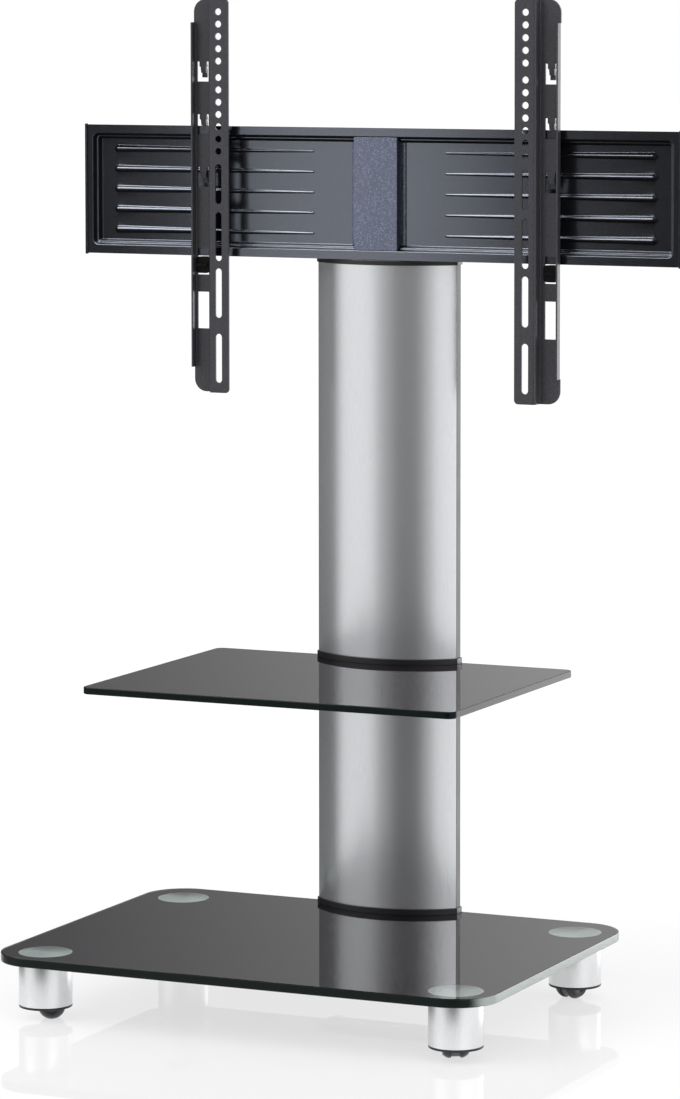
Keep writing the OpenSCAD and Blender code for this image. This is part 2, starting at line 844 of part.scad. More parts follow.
// The rail's outline seen from the front, with small inner and large outer corners
module rail_outline() {
    far = strip_x - strip_corner_r;
    near = face_corner_r - hole_inset;
    translate([near, 0]) square([far - near, rail_len]);
    translate([-hole_inset, face_corner_r])
        square([far + hole_inset, rail_len - 2 * face_corner_r]);
    translate([near, strip_corner_r]) square([strip_x - near, rail_len - 2 * strip_corner_r]);
    for (z = [face_corner_r, rail_len - face_corner_r]) translate([near, z]) circle(r = face_corner_r);
    for (z = [strip_corner_r, rail_len - strip_corner_r]) translate([far, z]) circle(r = strip_corner_r);
}

// Heights of the hooks' roots above the rail's foot; the second hook holds the plate's edge
function hook_z(k) = rail_len - rail_rise + hook_rise + (1 - k) * hook_pitch;

// Places its children, a cutter along Y, on the front flange at a height above the rail's foot
module through_face(z) {
    translate([0, -overrun, z]) rotate([-90, 0, 0]) children();
}

// A window through the rear strip
module strip_window(z, h) {
    translate([window_x - window_w / 2, rail_depth - rail_t - overrun, z])
        cube([window_w, rail_t + 2 * overrun, h]);
}

// A slot through the front flange, between the centres of its round ends
module face_slot(low, high) {
    for (z = [low, high]) through_face(z) cylinder(d = hole_d, h = rail_t + 2 * overrun);
    translate([-hole_d / 2, -overrun, low]) cube([hole_d, rail_t + 2 * overrun, high - low]);
}

// A hook lanced out of the strip: it steps back over the plate's edge and points down
module rail_hook(z) {
    front = rail_depth - rail_t;
    back = rail_depth + seat_gap + plate_sheet + hook_behind;
    seat = z - hook_rise + seat_gap;
    tip = z - hook_drop;
    neck = z - hook_lead - hook_t;
    profile = [
        [front, z], [rail_depth, z], [back + hook_t, seat + hook_shoulder],
        [back + hook_t, tip], [back, tip], [back, seat], [rail_depth, seat], [front, z - hook_lead]
    ];
    for (part = [[hook_root_w, neck, z + slice_t], [hook_tip_w, tip, neck + slice_t]])
        intersection() {
            translate([window_x - part[0] / 2, 0, 0]) rotate([90, 0, 90])
                linear_extrude(part[0]) polygon(profile);
            translate([web_x, 0, part[1]]) cube([rail_strip_w, 2 * rail_depth, part[2] - part[1]]);
        }
}

module rail() {
    difference() {
        intersection() {
            union() {
                linear_extrude(lip_low) rail_section(lip = false);
                translate([0, 0, lip_low]) linear_extrude(rail_len - lip_low - lip_high)
                    rail_section(lip = true);
                translate([0, 0, rail_len - lip_high]) linear_extrude(lip_high)
                    rail_section(lip = false);
            }
            along_y(-overrun, rail_depth + 2 * overrun) rail_outline();
        }
        for (k = [0 : upper_holes + lower_holes - 1])
            through_face(top_hole - k * hole_pitch - (k < upper_holes ? 0 : hole_break))
                cylinder(d = hole_d, h = rail_t + 2 * overrun);
        for (s = SLOTS)
            face_slot(top_hole - s[0] - s[1] + hole_d / 2, top_hole - s[0] - hole_d / 2);
        for (k = [0 : hook_count - 1]) strip_window(hook_z(k) - hook_window_h, hook_window_h);
        strip_window(lock_z, lock_below + lock_above);
        strip_window(open_z, open_window_h);
    }
    for (k = [0 : hook_count - 1]) rail_hook(hook_z(k));
}

// The pull catch that stands under the plate's lower edge, in the rail's own frame
module catch_block() {
    w = window_w - 2 * catch_side_gap;
    low = lock_z + catch_slit;
    high = lock_z + lock_below - catch_under;
    front = rail_depth - rail_t - cover_gap - catch_shoulder_t;
    back = rail_depth + seat_gap + plate_sheet + catch_reach;
    translate([window_x, 0, (low + high) / 2]) {
        along_y(front, back - front) rounded_rect(w, high - low, catch_corner_r);
        along_y(front, catch_shoulder_t)
            rounded_rect(w + 2 * catch_shoulder_out, high - low, catch_corner_r);
        along_y(front - catch_grip_out, catch_grip_out) rounded_rect(w, catch_grip_t, catch_grip_r);
    }
}

// Places its children at the right or, mirrored, at the left rail
module at_rail(side) {
    mirror([side < 0 ? 1 : 0, 0, 0]) translate([rail_x, rail_y, rail_z]) children();
}

module screen_rail(side) {
    color("#5a5b5e") at_rail(side) rail();
}

module catch(side) {
    color("#0c0c0d") at_rail(side) catch_block();
}

base_glass();
foot_disc(0);  // front_left_foot_disc
foot_disc(1);  // front_right_foot_disc
foot_disc(2);  // rear_right_foot_disc
foot_disc(3);  // rear_left_foot_disc
foot_sleeve(0);  // front_left_foot_sleeve
foot_sleeve(1);  // front_right_foot_sleeve
foot_sleeve(2);  // rear_right_foot_sleeve
foot_sleeve(3);  // rear_left_foot_sleeve
foot_cup(0);  // front_left_foot_cup
foot_cup(1);  // front_right_foot_cup
foot_cup(2);  // rear_right_foot_cup
foot_cup(3);  // rear_left_foot_cup
castor_body(0);  // front_left_castor_body
castor_body(1);  // front_right_castor_body
castor_body(2);  // rear_right_castor_body
castor_body(3);  // rear_left_castor_body
castor_wheels(0);  // front_left_castor_wheels
castor_wheels(1);  // front_right_castor_wheels
castor_wheels(2);  // rear_right_castor_wheels
castor_wheels(3);  // rear_left_castor_wheels
castor_axle(0);  // front_left_castor_axle
castor_axle(1);  // front_right_castor_axle
castor_axle(2);  // rear_right_castor_axle
castor_axle(3);  // rear_left_castor_axle
base_clamp_plate();
base_gaskets();
base_bolts();
post_foot_plate();
post();
post_plug();
collar(base_top, spigot_up = true);  // base_collar
shell(lower_shell_z, lower_shell_top);  // lower_shell
lower_rear_cover();
collar(lower_shell_top, spigot_up = false);  // shelf_lower_collar
shelf_carrier();
shelf_carrier_screws();
shelf_gaskets();
shelf_glass();
shelf_clamp_plate();
shelf_bolts();
collar(shelf_top_z, spigot_up = true);  // shelf_upper_collar
shell(upper_shell_z, upper_shell_top);  // upper_shell
upper_rear_cover();
cover_screws();
top_cap();
post_bracket();
mount_plate();
box_bracket();
plate_bolts();
plate_nuts();
screen_rail(-1);  // left_rail
screen_rail(1);  // right_rail
catch(-1);  // left_catch
catch(1);  // right_catch
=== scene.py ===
"""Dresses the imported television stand: its glass, aluminium, coated steel and plastic pieces.

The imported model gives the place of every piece. Sizes of pieces are written in millimetres and
scaled to metres when a mesh is made; the studio and the materials are in metres. Azimuths are
counted from the front, -Y, towards the right, +X.
"""

import logging
import math
from collections.abc import Callable, Iterable, Sequence
from dataclasses import dataclass, field
from enum import Enum

import bmesh
import bpy
from mathutils import Matrix, Vector


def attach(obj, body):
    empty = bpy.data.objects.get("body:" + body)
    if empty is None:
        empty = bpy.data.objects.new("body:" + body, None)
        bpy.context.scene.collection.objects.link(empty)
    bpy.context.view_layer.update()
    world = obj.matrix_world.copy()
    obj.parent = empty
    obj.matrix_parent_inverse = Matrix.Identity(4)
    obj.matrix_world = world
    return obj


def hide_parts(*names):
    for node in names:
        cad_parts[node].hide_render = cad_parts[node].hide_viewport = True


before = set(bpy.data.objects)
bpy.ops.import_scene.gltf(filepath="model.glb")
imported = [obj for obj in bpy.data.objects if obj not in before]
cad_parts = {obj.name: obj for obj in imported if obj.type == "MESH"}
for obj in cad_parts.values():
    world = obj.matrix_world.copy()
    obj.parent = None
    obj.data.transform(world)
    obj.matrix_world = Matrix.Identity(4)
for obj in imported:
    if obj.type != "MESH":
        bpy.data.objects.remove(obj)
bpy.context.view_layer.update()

logging.basicConfig(level=logging.INFO, format="%(message)s")
log = logging.getLogger("stand")

MM = 0.001
ON_AXIS = 1e-6
MOST_CUT = 0.45
CREASE = 32.0
SOFT_CREASE = 50.0
OUTLINE_CREASE = 14.0
PRESSED_CREASE = 60.0
WELD = 0.002
OUTLINE_WELD = 0.001
FLAT_TURN = 0.3
Colour = tuple[float, float, float]
Flat = tuple[float, float]
Place = tuple[float, float, float]
Ring = list[Flat]


def paint(red: float, green: float, blue: float) -> Colour:
    """Returns the linear colour of three screen values from 0 to 255."""
    def linear(value: float) -> float:
        """Returns the linear level of one screen value."""
        share = value / 255
        return share / 12.92 if share <= 0.04045 else ((share + 0.055) / 1.055) ** 2.4
    return (linear(red), linear(green), linear(blue))


def opaque(colour: Colour) -> tuple[float, float, float, float]:
    """Returns a colour with a full alpha."""
    return (*colour, 1.0)


class Slot(Enum):
    """The record's material slots."""

    GLASS = "black_backed_glass"
    FOOT = "foot_aluminium"
    BLACK = "black_plastic"
    CASTOR = "castor_plastic"
    WHEEL = "wheel_plastic"
    ZINC = "zinc_steel"
    ALUMINIUM = "brushed_aluminium"
    COVER = "cover_plastic"
    RUBBER = "gasket_rubber"
    PLATE = "plate_steel"
    BRACKET = "bracket_steel"
    POST = "post_steel"
    RAIL = "rail_steel"
    CATCH = "catch_plastic"


class Body(Enum):
    """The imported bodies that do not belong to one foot."""

    STAND = "stand"
    LEFT_RAIL = "left_screen_rail"
    RIGHT_RAIL = "right_screen_rail"
    LEFT_CATCH = "left_pull_catch"
    RIGHT_CATCH = "right_pull_catch"


class Corner(Enum):
    """The corners of the base: name, signs of X and Y, and how its castor stands turned."""

    FRONT_LEFT = ("front_left", -1, -1, 25)
    FRONT_RIGHT = ("front_right", 1, -1, 120)
    REAR_RIGHT = ("rear_right", 1, 1, 254)
    REAR_LEFT = ("rear_left", -1, 1, 200)

    @property
    def label(self) -> str:
        """The corner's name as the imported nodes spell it."""
        return self.value[0]

    def centre(self, x: float, y: float) -> Flat:
        """Returns the foot axis, x and y away from the middle."""
        return (self.value[1] * x, self.value[2] * y)

    @property
    def turn(self) -> float:
        """The castor's turn in radians."""
        return math.radians(self.value[3])


# Node trees


def operator(operation: str, swapped: bool = False) -> Callable[..., "Signal"]:
    """Makes a method of Signal that adds a Math node.

    Args:
        operation: the Math node's operation.
        swapped: whether the signal itself comes last, as reflected operators need.

    Returns:
        The method, which takes the node's other inputs.
    """
    def method(self: "Signal", *others: "Signal | float") -> "Signal":
        """Adds the node."""
        return self.maths(operation, *((*others, self) if swapped else (self, *others)))
    return method


class Signal:
    """A node socket that can be used in Python expressions."""

    def __init__(self, graph: "Graph", socket: bpy.types.NodeSocket) -> None:
        """Keeps the socket and the graph that it belongs to."""
        self.graph = graph
        self.socket = socket

    def maths(self, operation: str, *values: "Signal | float") -> "Signal":
        """Adds a Math node.

        Args:
            operation: the Math node's operation.
            values: its inputs in order.

        Returns:
            The node's result.
        """
        inputs = dict(enumerate(values))
        return self.graph.node("ShaderNodeMath", {"operation": operation}, inputs)[0]

    __add__ = __radd__ = operator("ADD")
    __sub__, __rsub__ = operator("SUBTRACT"), operator("SUBTRACT", swapped=True)
    __mul__ = __rmul__ = operator("MULTIPLY")
    __truediv__, __rtruediv__ = operator("DIVIDE"), operator("DIVIDE", swapped=True)
    __pow__, __abs__ = operator("POWER"), operator("ABSOLUTE")
    least, most = operator("MINIMUM"), operator("MAXIMUM")
    root, sine = operator("SQRT"), operator("SINE")

    def __neg__(self) -> "Signal":
        """Changes the sign."""
        return self * -1.0

    def hypot(self, other: "Signal") -> "Signal":
        """Returns the longest side of a right triangle, these two being the others."""
        return (self * self + other * other).root()

    def step(self, low: float, high: float, start: float = 0.0, end: float = 1.0) -> "Signal":
        """Maps a range smoothly onto another.

        Args:
            low: where the step starts.
            high: where the step ends.
            start: the value up to low.
            end: the value from high on.

        Returns:
            The mapped value.
        """
        return self.graph.node(
            "ShaderNodeMapRange", {"interpolation_type": "SMOOTHSTEP", "clamp": True},
            {"Value": self, "From Min": low, "From Max": high, "To Min": start, "To Max": end},
        )["Result"]

    def blend(self, first: Colour, second: Colour) -> "Signal":
        """Returns the colour between two, this being the share of the second."""
        return self.graph.node(
            "ShaderNodeMix", {"data_type": "RGBA"},
            {0: self, 6: opaque(first), 7: opaque(second)},
        )[2]


class Made:
    """A node that was just made, whose outputs come out as signals."""

    def __init__(self, graph: "Graph", node: bpy.types.Node) -> None:
        """Keeps the node and its graph."""
        self.graph = graph
        self.node = node

    def __getitem__(self, key: str | int) -> Signal:
        """Returns an output by its name or place."""
        return Signal(self.graph, self.node.outputs[key])


class Graph:
    """A node tree under construction."""

    def __init__(self, tree: bpy.types.NodeTree) -> None:
        """Empties the tree."""
        self.tree = tree
        tree.nodes.clear()

    def node(self, kind: str, settings: dict | None = None, inputs: dict | None = None) -> Made:
        """Makes one node.

        Args:
            kind: the node's type.
            settings: what is set before the inputs; "stops" fills a colour ramp.
            inputs: values or signals by the socket's name or place.

        Returns:
            The node, wrapped.
        """
        made = self.tree.nodes.new(kind)
        for key, value in (settings or {}).items():
            if key == "stops":
                self.fill_ramp(made.color_ramp, value)
            else:
                setattr(made, key, value)
        for key, value in (inputs or {}).items():
            socket = made.inputs[key]
            if isinstance(value, Signal):
                self.tree.links.new(value.socket, socket)
            else:
                socket.default_value = value
        return Made(self, made)

    @staticmethod
    def fill_ramp(ramp: bpy.types.ColorRamp, stops: Sequence[tuple[float, float]]) -> None:
        """Sets a ramp's grey stops from places and levels."""
        ramp.interpolation = "EASE"
        while len(ramp.elements) < len(stops):
            ramp.elements.new(0.5)
        for element, (place, level) in zip(ramp.elements, stops):
            element.position = place
            element.color = (level, level, level, 1.0)

    def place(self, centre: Place = (0.0, 0.0, 0.0), stretch: Place = (1.0, 1.0, 1.0)) -> Signal:
        """Returns Object coordinates about a centre, stretched."""
        return self.node("ShaderNodeMapping", {"vector_type": "POINT"}, {
            "Vector": self.node("ShaderNodeTexCoord")["Object"],
            "Location": tuple(-c * s for c, s in zip(centre, stretch)), "Scale": stretch,
        })["Vector"]

    def parts(self, vector: Signal) -> Made:
        """Splits a vector into X, Y and Z."""
        return self.node("ShaderNodeSeparateXYZ", None, {0: vector})

    def channel(self, colour: Signal, name: str) -> Signal:
        """Returns one channel of a colour."""
        return self.node("ShaderNodeSeparateColor", None, {0: colour})[name]

    def from_axis(self, where: Signal) -> Signal:
        """Returns how far a place lies from the upright axis."""
        parts = self.parts(where)
        return parts["X"].hypot(parts["Y"])

    def noise(self, where: Signal, scale: float, detail: float = 2.0, rough: float = 0.5) -> Signal:
        """Returns a noise value about 0.5."""
        return self.node("ShaderNodeTexNoise", None, {
            "Vector": where, "Scale": scale, "Detail": detail, "Roughness": rough,
        })[0]

    def bump(self, height: Signal, strength: float, depth: float) -> Signal:
        """Returns a normal bent by a height; depth is in metres."""
        return self.node("ShaderNodeBump", None, {
            "Strength": strength, "Distance": depth, "Height": height,
        })["Normal"]


# Finishes

_made_materials: dict[str, bpy.types.Material] = {}


@dataclass(frozen=True)
class Finish:
    """A surface finish; plain values go straight onto the shader's sockets."""

    name: str
    slot: Slot
    colour: Colour
    roughness: float = 0.5
    metallic: float = 0.0
    grain: float = 1.0
    coat: float = 0.0
    shine: float = 0.5
    turned: float = 0.0
    coat_roughness: float = 0.12

    def plain(self) -> dict[str, float | tuple]:
        """Returns the values that are the same all over."""
        return {
            "Base Color": opaque(self.colour), "Roughness": self.roughness,
            "Metallic": self.metallic, "Coat Weight": self.coat, "Coat Roughness": self.coat_roughness,
            "Specular IOR Level": self.shine, "Anisotropic": self.turned,
        }

    def tint(self, share: float) -> Colour:
        """Returns the finish's colour made darker or lighter, at most white."""
        return tuple(min(1.0, c * share) for c in self.colour)

    def surface(self, graph: Graph) -> dict[str, Signal]:
        """Returns the signals that change over the surface."""
        return {}

    def material(self) -> bpy.types.Material:
        """Returns the finish's material, made on first use."""
        if self.name not in _made_materials:
            made = bpy.data.materials.new(self.name)
            made.use_nodes = True
            made.diffuse_color = opaque(self.colour)
            graph = Graph(made.node_tree)
            values = {**self.plain(), **self.surface(graph)}
            shader = graph.node("ShaderNodeBsdfPrincipled", None, values)
            graph.node("ShaderNodeOutputMaterial", None, {"Surface": shader[0]})
            _made_materials[self.name] = made
        return _made_materials[self.name]


@dataclass(frozen=True)
class Moulded(Finish):
    """Moulded plastic, rubber or smooth paint: a fine grain and slightly uneven gloss."""

    grain_scale: float = 900.0
    shift: float = 0.12

    def surface(self, graph: Graph) -> dict[str, Signal]:
        """Returns colour, roughness and normal from two sizes of noise."""
        where = graph.place()
        fine = graph.noise(where, self.grain_scale, detail=3.0)
        broad = graph.noise(where, scale=14.0)
        dark, light = self.tint(1 - self.shift), self.tint(1 + self.shift)
        return {
            "Base Color": (broad * 0.6 + fine * 0.4).step(0.3, 0.7).blend(dark, light),
            "Roughness": self.roughness * (0.8 + 0.4 * broad),
            "Normal": graph.bump(fine, 0.25 * self.grain, depth=0.0002),
        }


@dataclass(frozen=True)
class Anodised(Finish):
    """Fine anodised aluminium, drawn along one direction."""

    drawn: Place = (1.0, 1.0, 0.08)

    def surface(self, graph: Graph) -> dict[str, Signal]:
        """Returns the drawn lines and the fine anodised grain."""
        lines = graph.noise(graph.place(stretch=self.drawn), scale=1400.0, detail=3.0, rough=0.6)
        fine = graph.noise(graph.place(), scale=2600.0, rough=0.7)
        broad = graph.noise(graph.place(), scale=6.0)
        mixed = lines * 0.55 + fine * 0.45
        return {
            "Base Color": mixed.step(0.3, 0.7).blend(self.tint(0.93), self.tint(1.04)),
            "Roughness": self.roughness * (0.82 + 0.24 * mixed + 0.12 * broad),
            "Normal": graph.bump(mixed, 0.10 * self.grain, depth=0.00012),
        }


@dataclass(frozen=True)
class Turned(Finish):
    """Aluminium faced on a lathe: fine rings round the foot's axis."""

    centre: Place = (0.0, 0.0, 0.0)
    ring_pitch: float = 0.0011

    def surface(self, graph: Graph) -> dict[str, Signal]:
        """Returns the tool's rings about the centre."""
        where = graph.place(self.centre)
        wander = graph.noise(where, scale=30.0, detail=1.0)
        phase = graph.from_axis(where) * (math.tau / self.ring_pitch) + wander * 1.5
        rings = phase.sine() * 0.5 + 0.5
        fine = graph.noise(where, scale=1800.0)
        return {
            "Base Color": (rings * 0.6 + fine * 0.4).blend(self.tint(0.9), self.colour),
            "Roughness": self.roughness * (0.8 + 0.25 * rings + 0.15 * fine),
            "Normal": graph.bump(rings, 0.22 * self.grain, depth=0.00015),
        }


@dataclass(frozen=True)
class Coated(Finish):
    """Powder coat: a granular skin in which some grains are painted lighter as painted glints."""

    cell: float = 900.0
    # the colour of the grains that are painted lighter: a painted glint
    painted_glint: Colour = (0.5, 0.5, 0.6)
    glint_share: float = 0.3

    def surface(self, graph: Graph) -> dict[str, Signal]:
        """Returns the grains, painted glints on some of them, and an uneven gloss."""
        where = graph.place()
        cells = graph.node("ShaderNodeTexVoronoi", {"feature": "F1"}, {
            "Vector": where, "Scale": self.cell, "Randomness": 1.0,
        })
        chance = graph.channel(cells["Color"], "Red")
        # grains chosen by chance get the glint colour, a painted highlight
        bright = chance.step(1 - self.glint_share, 1.0)
        orange_peel = graph.noise(where, self.cell * 0.6, detail=3.0)
        broad = graph.noise(where, scale=9.0)
        return {
            "Base Color": (bright * (0.6 + 0.4 * broad)).blend(self.colour, self.painted_glint),
            "Roughness": self.roughness * (0.85 + 0.3 * orange_peel),
            "Normal": graph.bump(orange_peel * 0.6 + chance * 0.4, 0.35 * self.grain, depth=0.0001),
        }


@dataclass(frozen=True)
class Plated(Finish):
    """Zinc plated steel with the faint spangle of its crystals."""

    def surface(self, graph: Graph) -> dict[str, Signal]:
        """Returns the spangle and a fine scratchy roughness."""
        where = graph.place()
        crystals = graph.node("ShaderNodeTexVoronoi", None, {"Vector": where, "Scale": 420.0})
        tone = graph.channel(crystals["Color"], "Green")
        fine = graph.noise(where, scale=1500.0, detail=3.0)
        return {
            "Base Color": tone.blend(self.tint(0.78), self.colour),
            "Roughness": self.roughness * (0.75 + 0.35 * tone + 0.3 * fine),
            "Normal": graph.bump(fine, 0.2 * self.grain, depth=0.0001),
        }


@dataclass(frozen=True)
class Clear(Finish):
    """The polished face of float glass."""

    bend: float = 1.5

    def plain(self) -> dict[str, float | tuple]:
        """Adds the glass's transmission to the plain values."""
        return {**super().plain(), "Transmission Weight": 1.0, "IOR": self.bend}

    def surface(self, graph: Graph) -> dict[str, Signal]:
        """Returns a polish that is a little uneven."""
        smear = graph.noise(graph.place(), scale=7.0, detail=3.0)
        return {"Roughness": smear.step(0.45, 0.8) * 0.012 + self.roughness}


@dataclass(frozen=True)
class GroundEdge(Finish):
    """The ground edge of the glass: dark green, with painted light on the side faces that face along
    X.
    """

    # side: the colour of the side faces, painted lighter as painted light
    side: Colour = (0.002, 0.006, 0.005)

    def surface(self, graph: Graph) -> dict[str, Signal]:
        """Returns the green depth, the marks of the grinding wheel and the painted light on the side
        faces.
        """
        marks = graph.noise(graph.place(stretch=(0.04, 0.04, 1.0)), scale=2600.0)
        faces = graph.node("ShaderNodeNewGeometry")["Normal"]
        turned = abs(graph.parts(faces)["X"])
        # faces turned along X take the side colour: painted light on the side edges
        lit_sides = (turned * (0.92 + 0.16 * marks)).step(0.62, 0.92)
        return {
            "Base Color": lit_sides.blend(self.colour, self.side),
            "Roughness": self.roughness + marks * 0.10,
        }


@dataclass(frozen=True)
class Lacquer(Finish):
    """The black lacquer behind the glass."""

    def surface(self, graph: Graph) -> dict[str, Signal]:
        """Returns the faint cloudiness of a sprayed coat."""
        cloud = graph.noise(graph.place(), scale=18.0, detail=4.0)
        fine = graph.noise(graph.place(), scale=700.0)
        shade = (cloud * 0.7 + fine * 0.3).step(0.3, 0.7)
        return {
            "Base Color": shade.blend(self.colour, self.tint(1.35)),
            "Roughness": self.roughness * (0.85 + 0.3 * cloud),
        }


PANE = Clear("pane_glass", Slot.GLASS, (0.84, 0.93, 0.90), roughness=0.01)
# side is painted light: the base glass's side edges are painted lighter than its front
PANE_EDGE = GroundEdge("pane_edge", Slot.GLASS, (0.002, 0.006, 0.005), roughness=0.08, shine=0.17,
                       side=(0.40, 0.44, 0.425))
SHELF_EDGE = GroundEdge("shelf_edge", Slot.GLASS, (0.002, 0.006, 0.005), roughness=0.14, shine=0.12)
FILM = Lacquer("black_lacquer", Slot.GLASS, (0.016, 0.009, 0.017), roughness=0.6, shine=0.0)
SLEEVE = Anodised("foot_anodised", Slot.FOOT, (0.80, 0.81, 0.82), roughness=0.3, metallic=1.0)
SHELL = Anodised("column_anodised", Slot.ALUMINIUM, (0.75, 0.763, 0.785), roughness=0.24,
                 metallic=0.86)
COLLAR = Moulded("black_moulding", Slot.BLACK, paint(24, 24, 26), roughness=0.36)
COVER = Moulded("cover_moulding", Slot.COVER, paint(62, 63, 66), roughness=0.46)
CASTOR = Moulded("castor_moulding", Slot.CASTOR, paint(120, 122, 124), roughness=0.4)
WHEEL = Moulded("wheel_moulding", Slot.WHEEL, paint(60, 64, 71), roughness=0.2, grain=0.3)
CATCH = Moulded("catch_moulding", Slot.CATCH, paint(13, 13, 14), roughness=0.38, shine=0.1)
RUBBER = Moulded("gasket_rubber", Slot.RUBBER, paint(20, 20, 20), roughness=0.8, grain_scale=500.0)
ZINC = Plated("zinc_plating", Slot.ZINC, (0.62, 0.63, 0.63), roughness=0.34, metallic=1.0)
# each coat's glint colour is painted onto lighter grains as a painted highlight
POST = Coated("post_coat", Slot.POST, paint(34, 35, 38), roughness=0.45, painted_glint=paint(60, 62, 66))
RAIL = Coated("rail_coat", Slot.RAIL, paint(62, 62, 66), roughness=0.36, metallic=0.3,
              cell=1500.0, painted_glint=paint(80, 81, 86), glint_share=0.5, grain=0.5, shine=0.35)
PLATE = Coated("plate_coat", Slot.PLATE, paint(13, 13, 16), roughness=0.24,
               painted_glint=paint(24, 26, 34), glint_share=0.25, cell=1300.0, grain=1.2, shine=0.12)
BRACKET = Coated("bracket_coat", Slot.BRACKET, paint(40, 42, 50), roughness=0.36, metallic=0.15,
                 painted_glint=paint(78, 83, 100), glint_share=0.3, cell=1100.0, grain=2.0, shine=0.12)


# Mesh work


class Bench:
    """The mesh work that the sub-assemblies share."""

    @staticmethod
    def shade(mesh: bpy.types.Mesh, crease: float) -> None:
        """Shades a mesh smooth, apart from edges sharper than crease degrees."""
        mesh.polygons.foreach_set("use_smooth", [True] * len(mesh.polygons))
        mesh.set_sharp_from_angle(angle=math.radians(crease))
        mesh.update()

    @staticmethod
    def show(name: str, data: bpy.types.ID) -> bpy.types.Object:
        """Returns a new object of the data in the scene."""
        made = bpy.data.objects.new(name, data)
        bpy.context.scene.collection.objects.link(made)
        return made

    @classmethod
    def raise_object(
        cls, name: str, shape: bmesh.types.BMesh, scale: float = MM, crease: float = CREASE,
    ) -> bpy.types.Object:
        """Turns a worked shape into an object.

        Args:
            name: the piece's name.
            shape: the shape, used up here.
            scale: from the shape's units to metres.
            crease: edges sharper than this many degrees stay sharp.

        Returns:
            The object.
        """
        bmesh.ops.scale(shape, vec=(scale,) * 3, verts=shape.verts)
        mesh = bpy.data.meshes.new(name)
        shape.to_mesh(mesh)
        shape.free()
        cls.shade(mesh, crease)
        return cls.show(name, mesh)

    @staticmethod
    def worked(mesh: bpy.types.Mesh) -> bmesh.types.BMesh:
        """Returns a shape to work on, copied from a mesh."""
        shape = bmesh.new()
        shape.from_mesh(mesh)
        return shape

    @staticmethod
    def mesh_of(piece: bpy.types.Object) -> bpy.types.Mesh:
        """Returns a new mesh of an object as its modifiers or its curve show it."""
        seen = piece.evaluated_get(bpy.context.evaluated_depsgraph_get())
        return bpy.data.meshes.new_from_object(seen)

    @classmethod
    def settle(cls, piece: bpy.types.Object) -> bpy.types.Object:
        """Works a piece's modifiers into its mesh and takes them off."""
        mesh = cls.mesh_of(piece)
        piece.modifiers.clear()
        piece.data = mesh
        return piece

    @classmethod
    def soften(
        cls, piece: bpy.types.Object, width: float, steps: int = 2, above: float = 40.0,
    ) -> bpy.types.Object:
        """Rounds a piece's edges.

        Args:
            piece: the piece.
            width: the rounding in millimetres.
            steps: how many faces it has.
            above: edges that turn by fewer degrees stay.

        Returns:
            The piece.
        """
        bevel = piece.modifiers.new("soften", "BEVEL")
        bevel.width = width * MM
        bevel.segments = steps
        bevel.limit_method = "ANGLE"
        bevel.angle_limit = math.radians(above)
        bevel.use_clamp_overlap = True
        bevel.miter_outer = "MITER_SHARP"
        cls.settle(piece)
        cls.shade(piece.data, SOFT_CREASE)
        even = piece.modifiers.new("even", "WEIGHTED_NORMAL")
        even.keep_sharp = True
        return cls.settle(piece)

    @classmethod
    def refine(cls, node: str, edge: float) -> bpy.types.Object:
        """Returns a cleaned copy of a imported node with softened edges.

        Args:
            node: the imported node's name.
            edge: the width of its softened edges in millimetres.

        Returns:
            The piece.
        """
        shape = cls.worked(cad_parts[node].data)
        bmesh.ops.remove_doubles(shape, verts=shape.verts, dist=WELD * MM)
        bmesh.ops.dissolve_limit(
            shape, angle_limit=math.radians(FLAT_TURN), verts=shape.verts, edges=shape.edges
        )
        return cls.soften(cls.raise_object(f"{node}_finished", shape, scale=1.0), edge)

    @staticmethod
    def rounded(
        width: float, depth: float, radius: float, middle: Flat = (0, 0), steps: int = 24,
    ) -> Ring:
        """Returns a rectangle with round corners as a ring of points."""
        ring: Ring = []
        for k, (sx, sy) in enumerate(((1, 1), (-1, 1), (-1, -1), (1, -1))):
            for s in range(steps + 1):
                turn = (k + s / steps) * math.pi / 2
                ring.append((
                    middle[0] + sx * (width / 2 - radius) + radius * math.cos(turn),
                    middle[1] + sy * (depth / 2 - radius) + radius * math.sin(turn),
                ))
        return ring

    @staticmethod
    def circle(middle: Flat, radius: float, steps: int = 64) -> Ring:
        """Returns a circle as a ring of points."""
        return [
            (middle[0] + radius * math.cos(math.tau * s / steps),
             middle[1] + radius * math.sin(math.tau * s / steps))
            for s in range(steps)
        ]

    @classmethod
    def plate(
        cls, name: str, rings: Iterable[Ring], low: float, high: float, edge: float, steps: int = 2,
    ) -> bpy.types.Object:
        """Makes a flat plate with rounded edges from an outline and its holes.

        Args:
            name: the piece's name.
            rings: the outline first, then the holes.
            low: the height of its underside.
            high: the height of its top.
            edge: the rounding of its edges.
            steps: how many faces the rounding has.

        Returns:
            The plate as a mesh object.
        """
        curve = bpy.data.curves.new(name, "CURVE")
        curve.dimensions = "2D"
        curve.fill_mode = "BOTH"
        curve.extrude = ((high - low) / 2 - edge) * MM
        curve.bevel_depth = edge * MM
        curve.bevel_resolution = steps - 1
        curve.offset = -edge * MM
        for ring in rings:
            line = curve.splines.new("POLY")
            line.points.add(len(ring) - 1)
            for point, (x, y) in zip(line.points, ring):
                point.co = (x * MM, y * MM, 0.0, 1.0)
            line.use_cyclic_u = True
        drawn = cls.show(name + "_outline", curve)
        flat = cls.mesh_of(drawn)
        shape = cls.worked(flat)
        bpy.data.objects.remove(drawn)
        bpy.data.meshes.remove(flat)
        bmesh.ops.remove_doubles(shape, verts=shape.verts, dist=OUTLINE_WELD * MM)
        bmesh.ops.translate(shape, verts=shape.verts, vec=(0, 0, (low + high) / 2 * MM))
        bmesh.ops.recalc_face_normals(shape, faces=shape.faces)
        return cls.raise_object(name, shape, scale=1.0, crease=OUTLINE_CREASE)

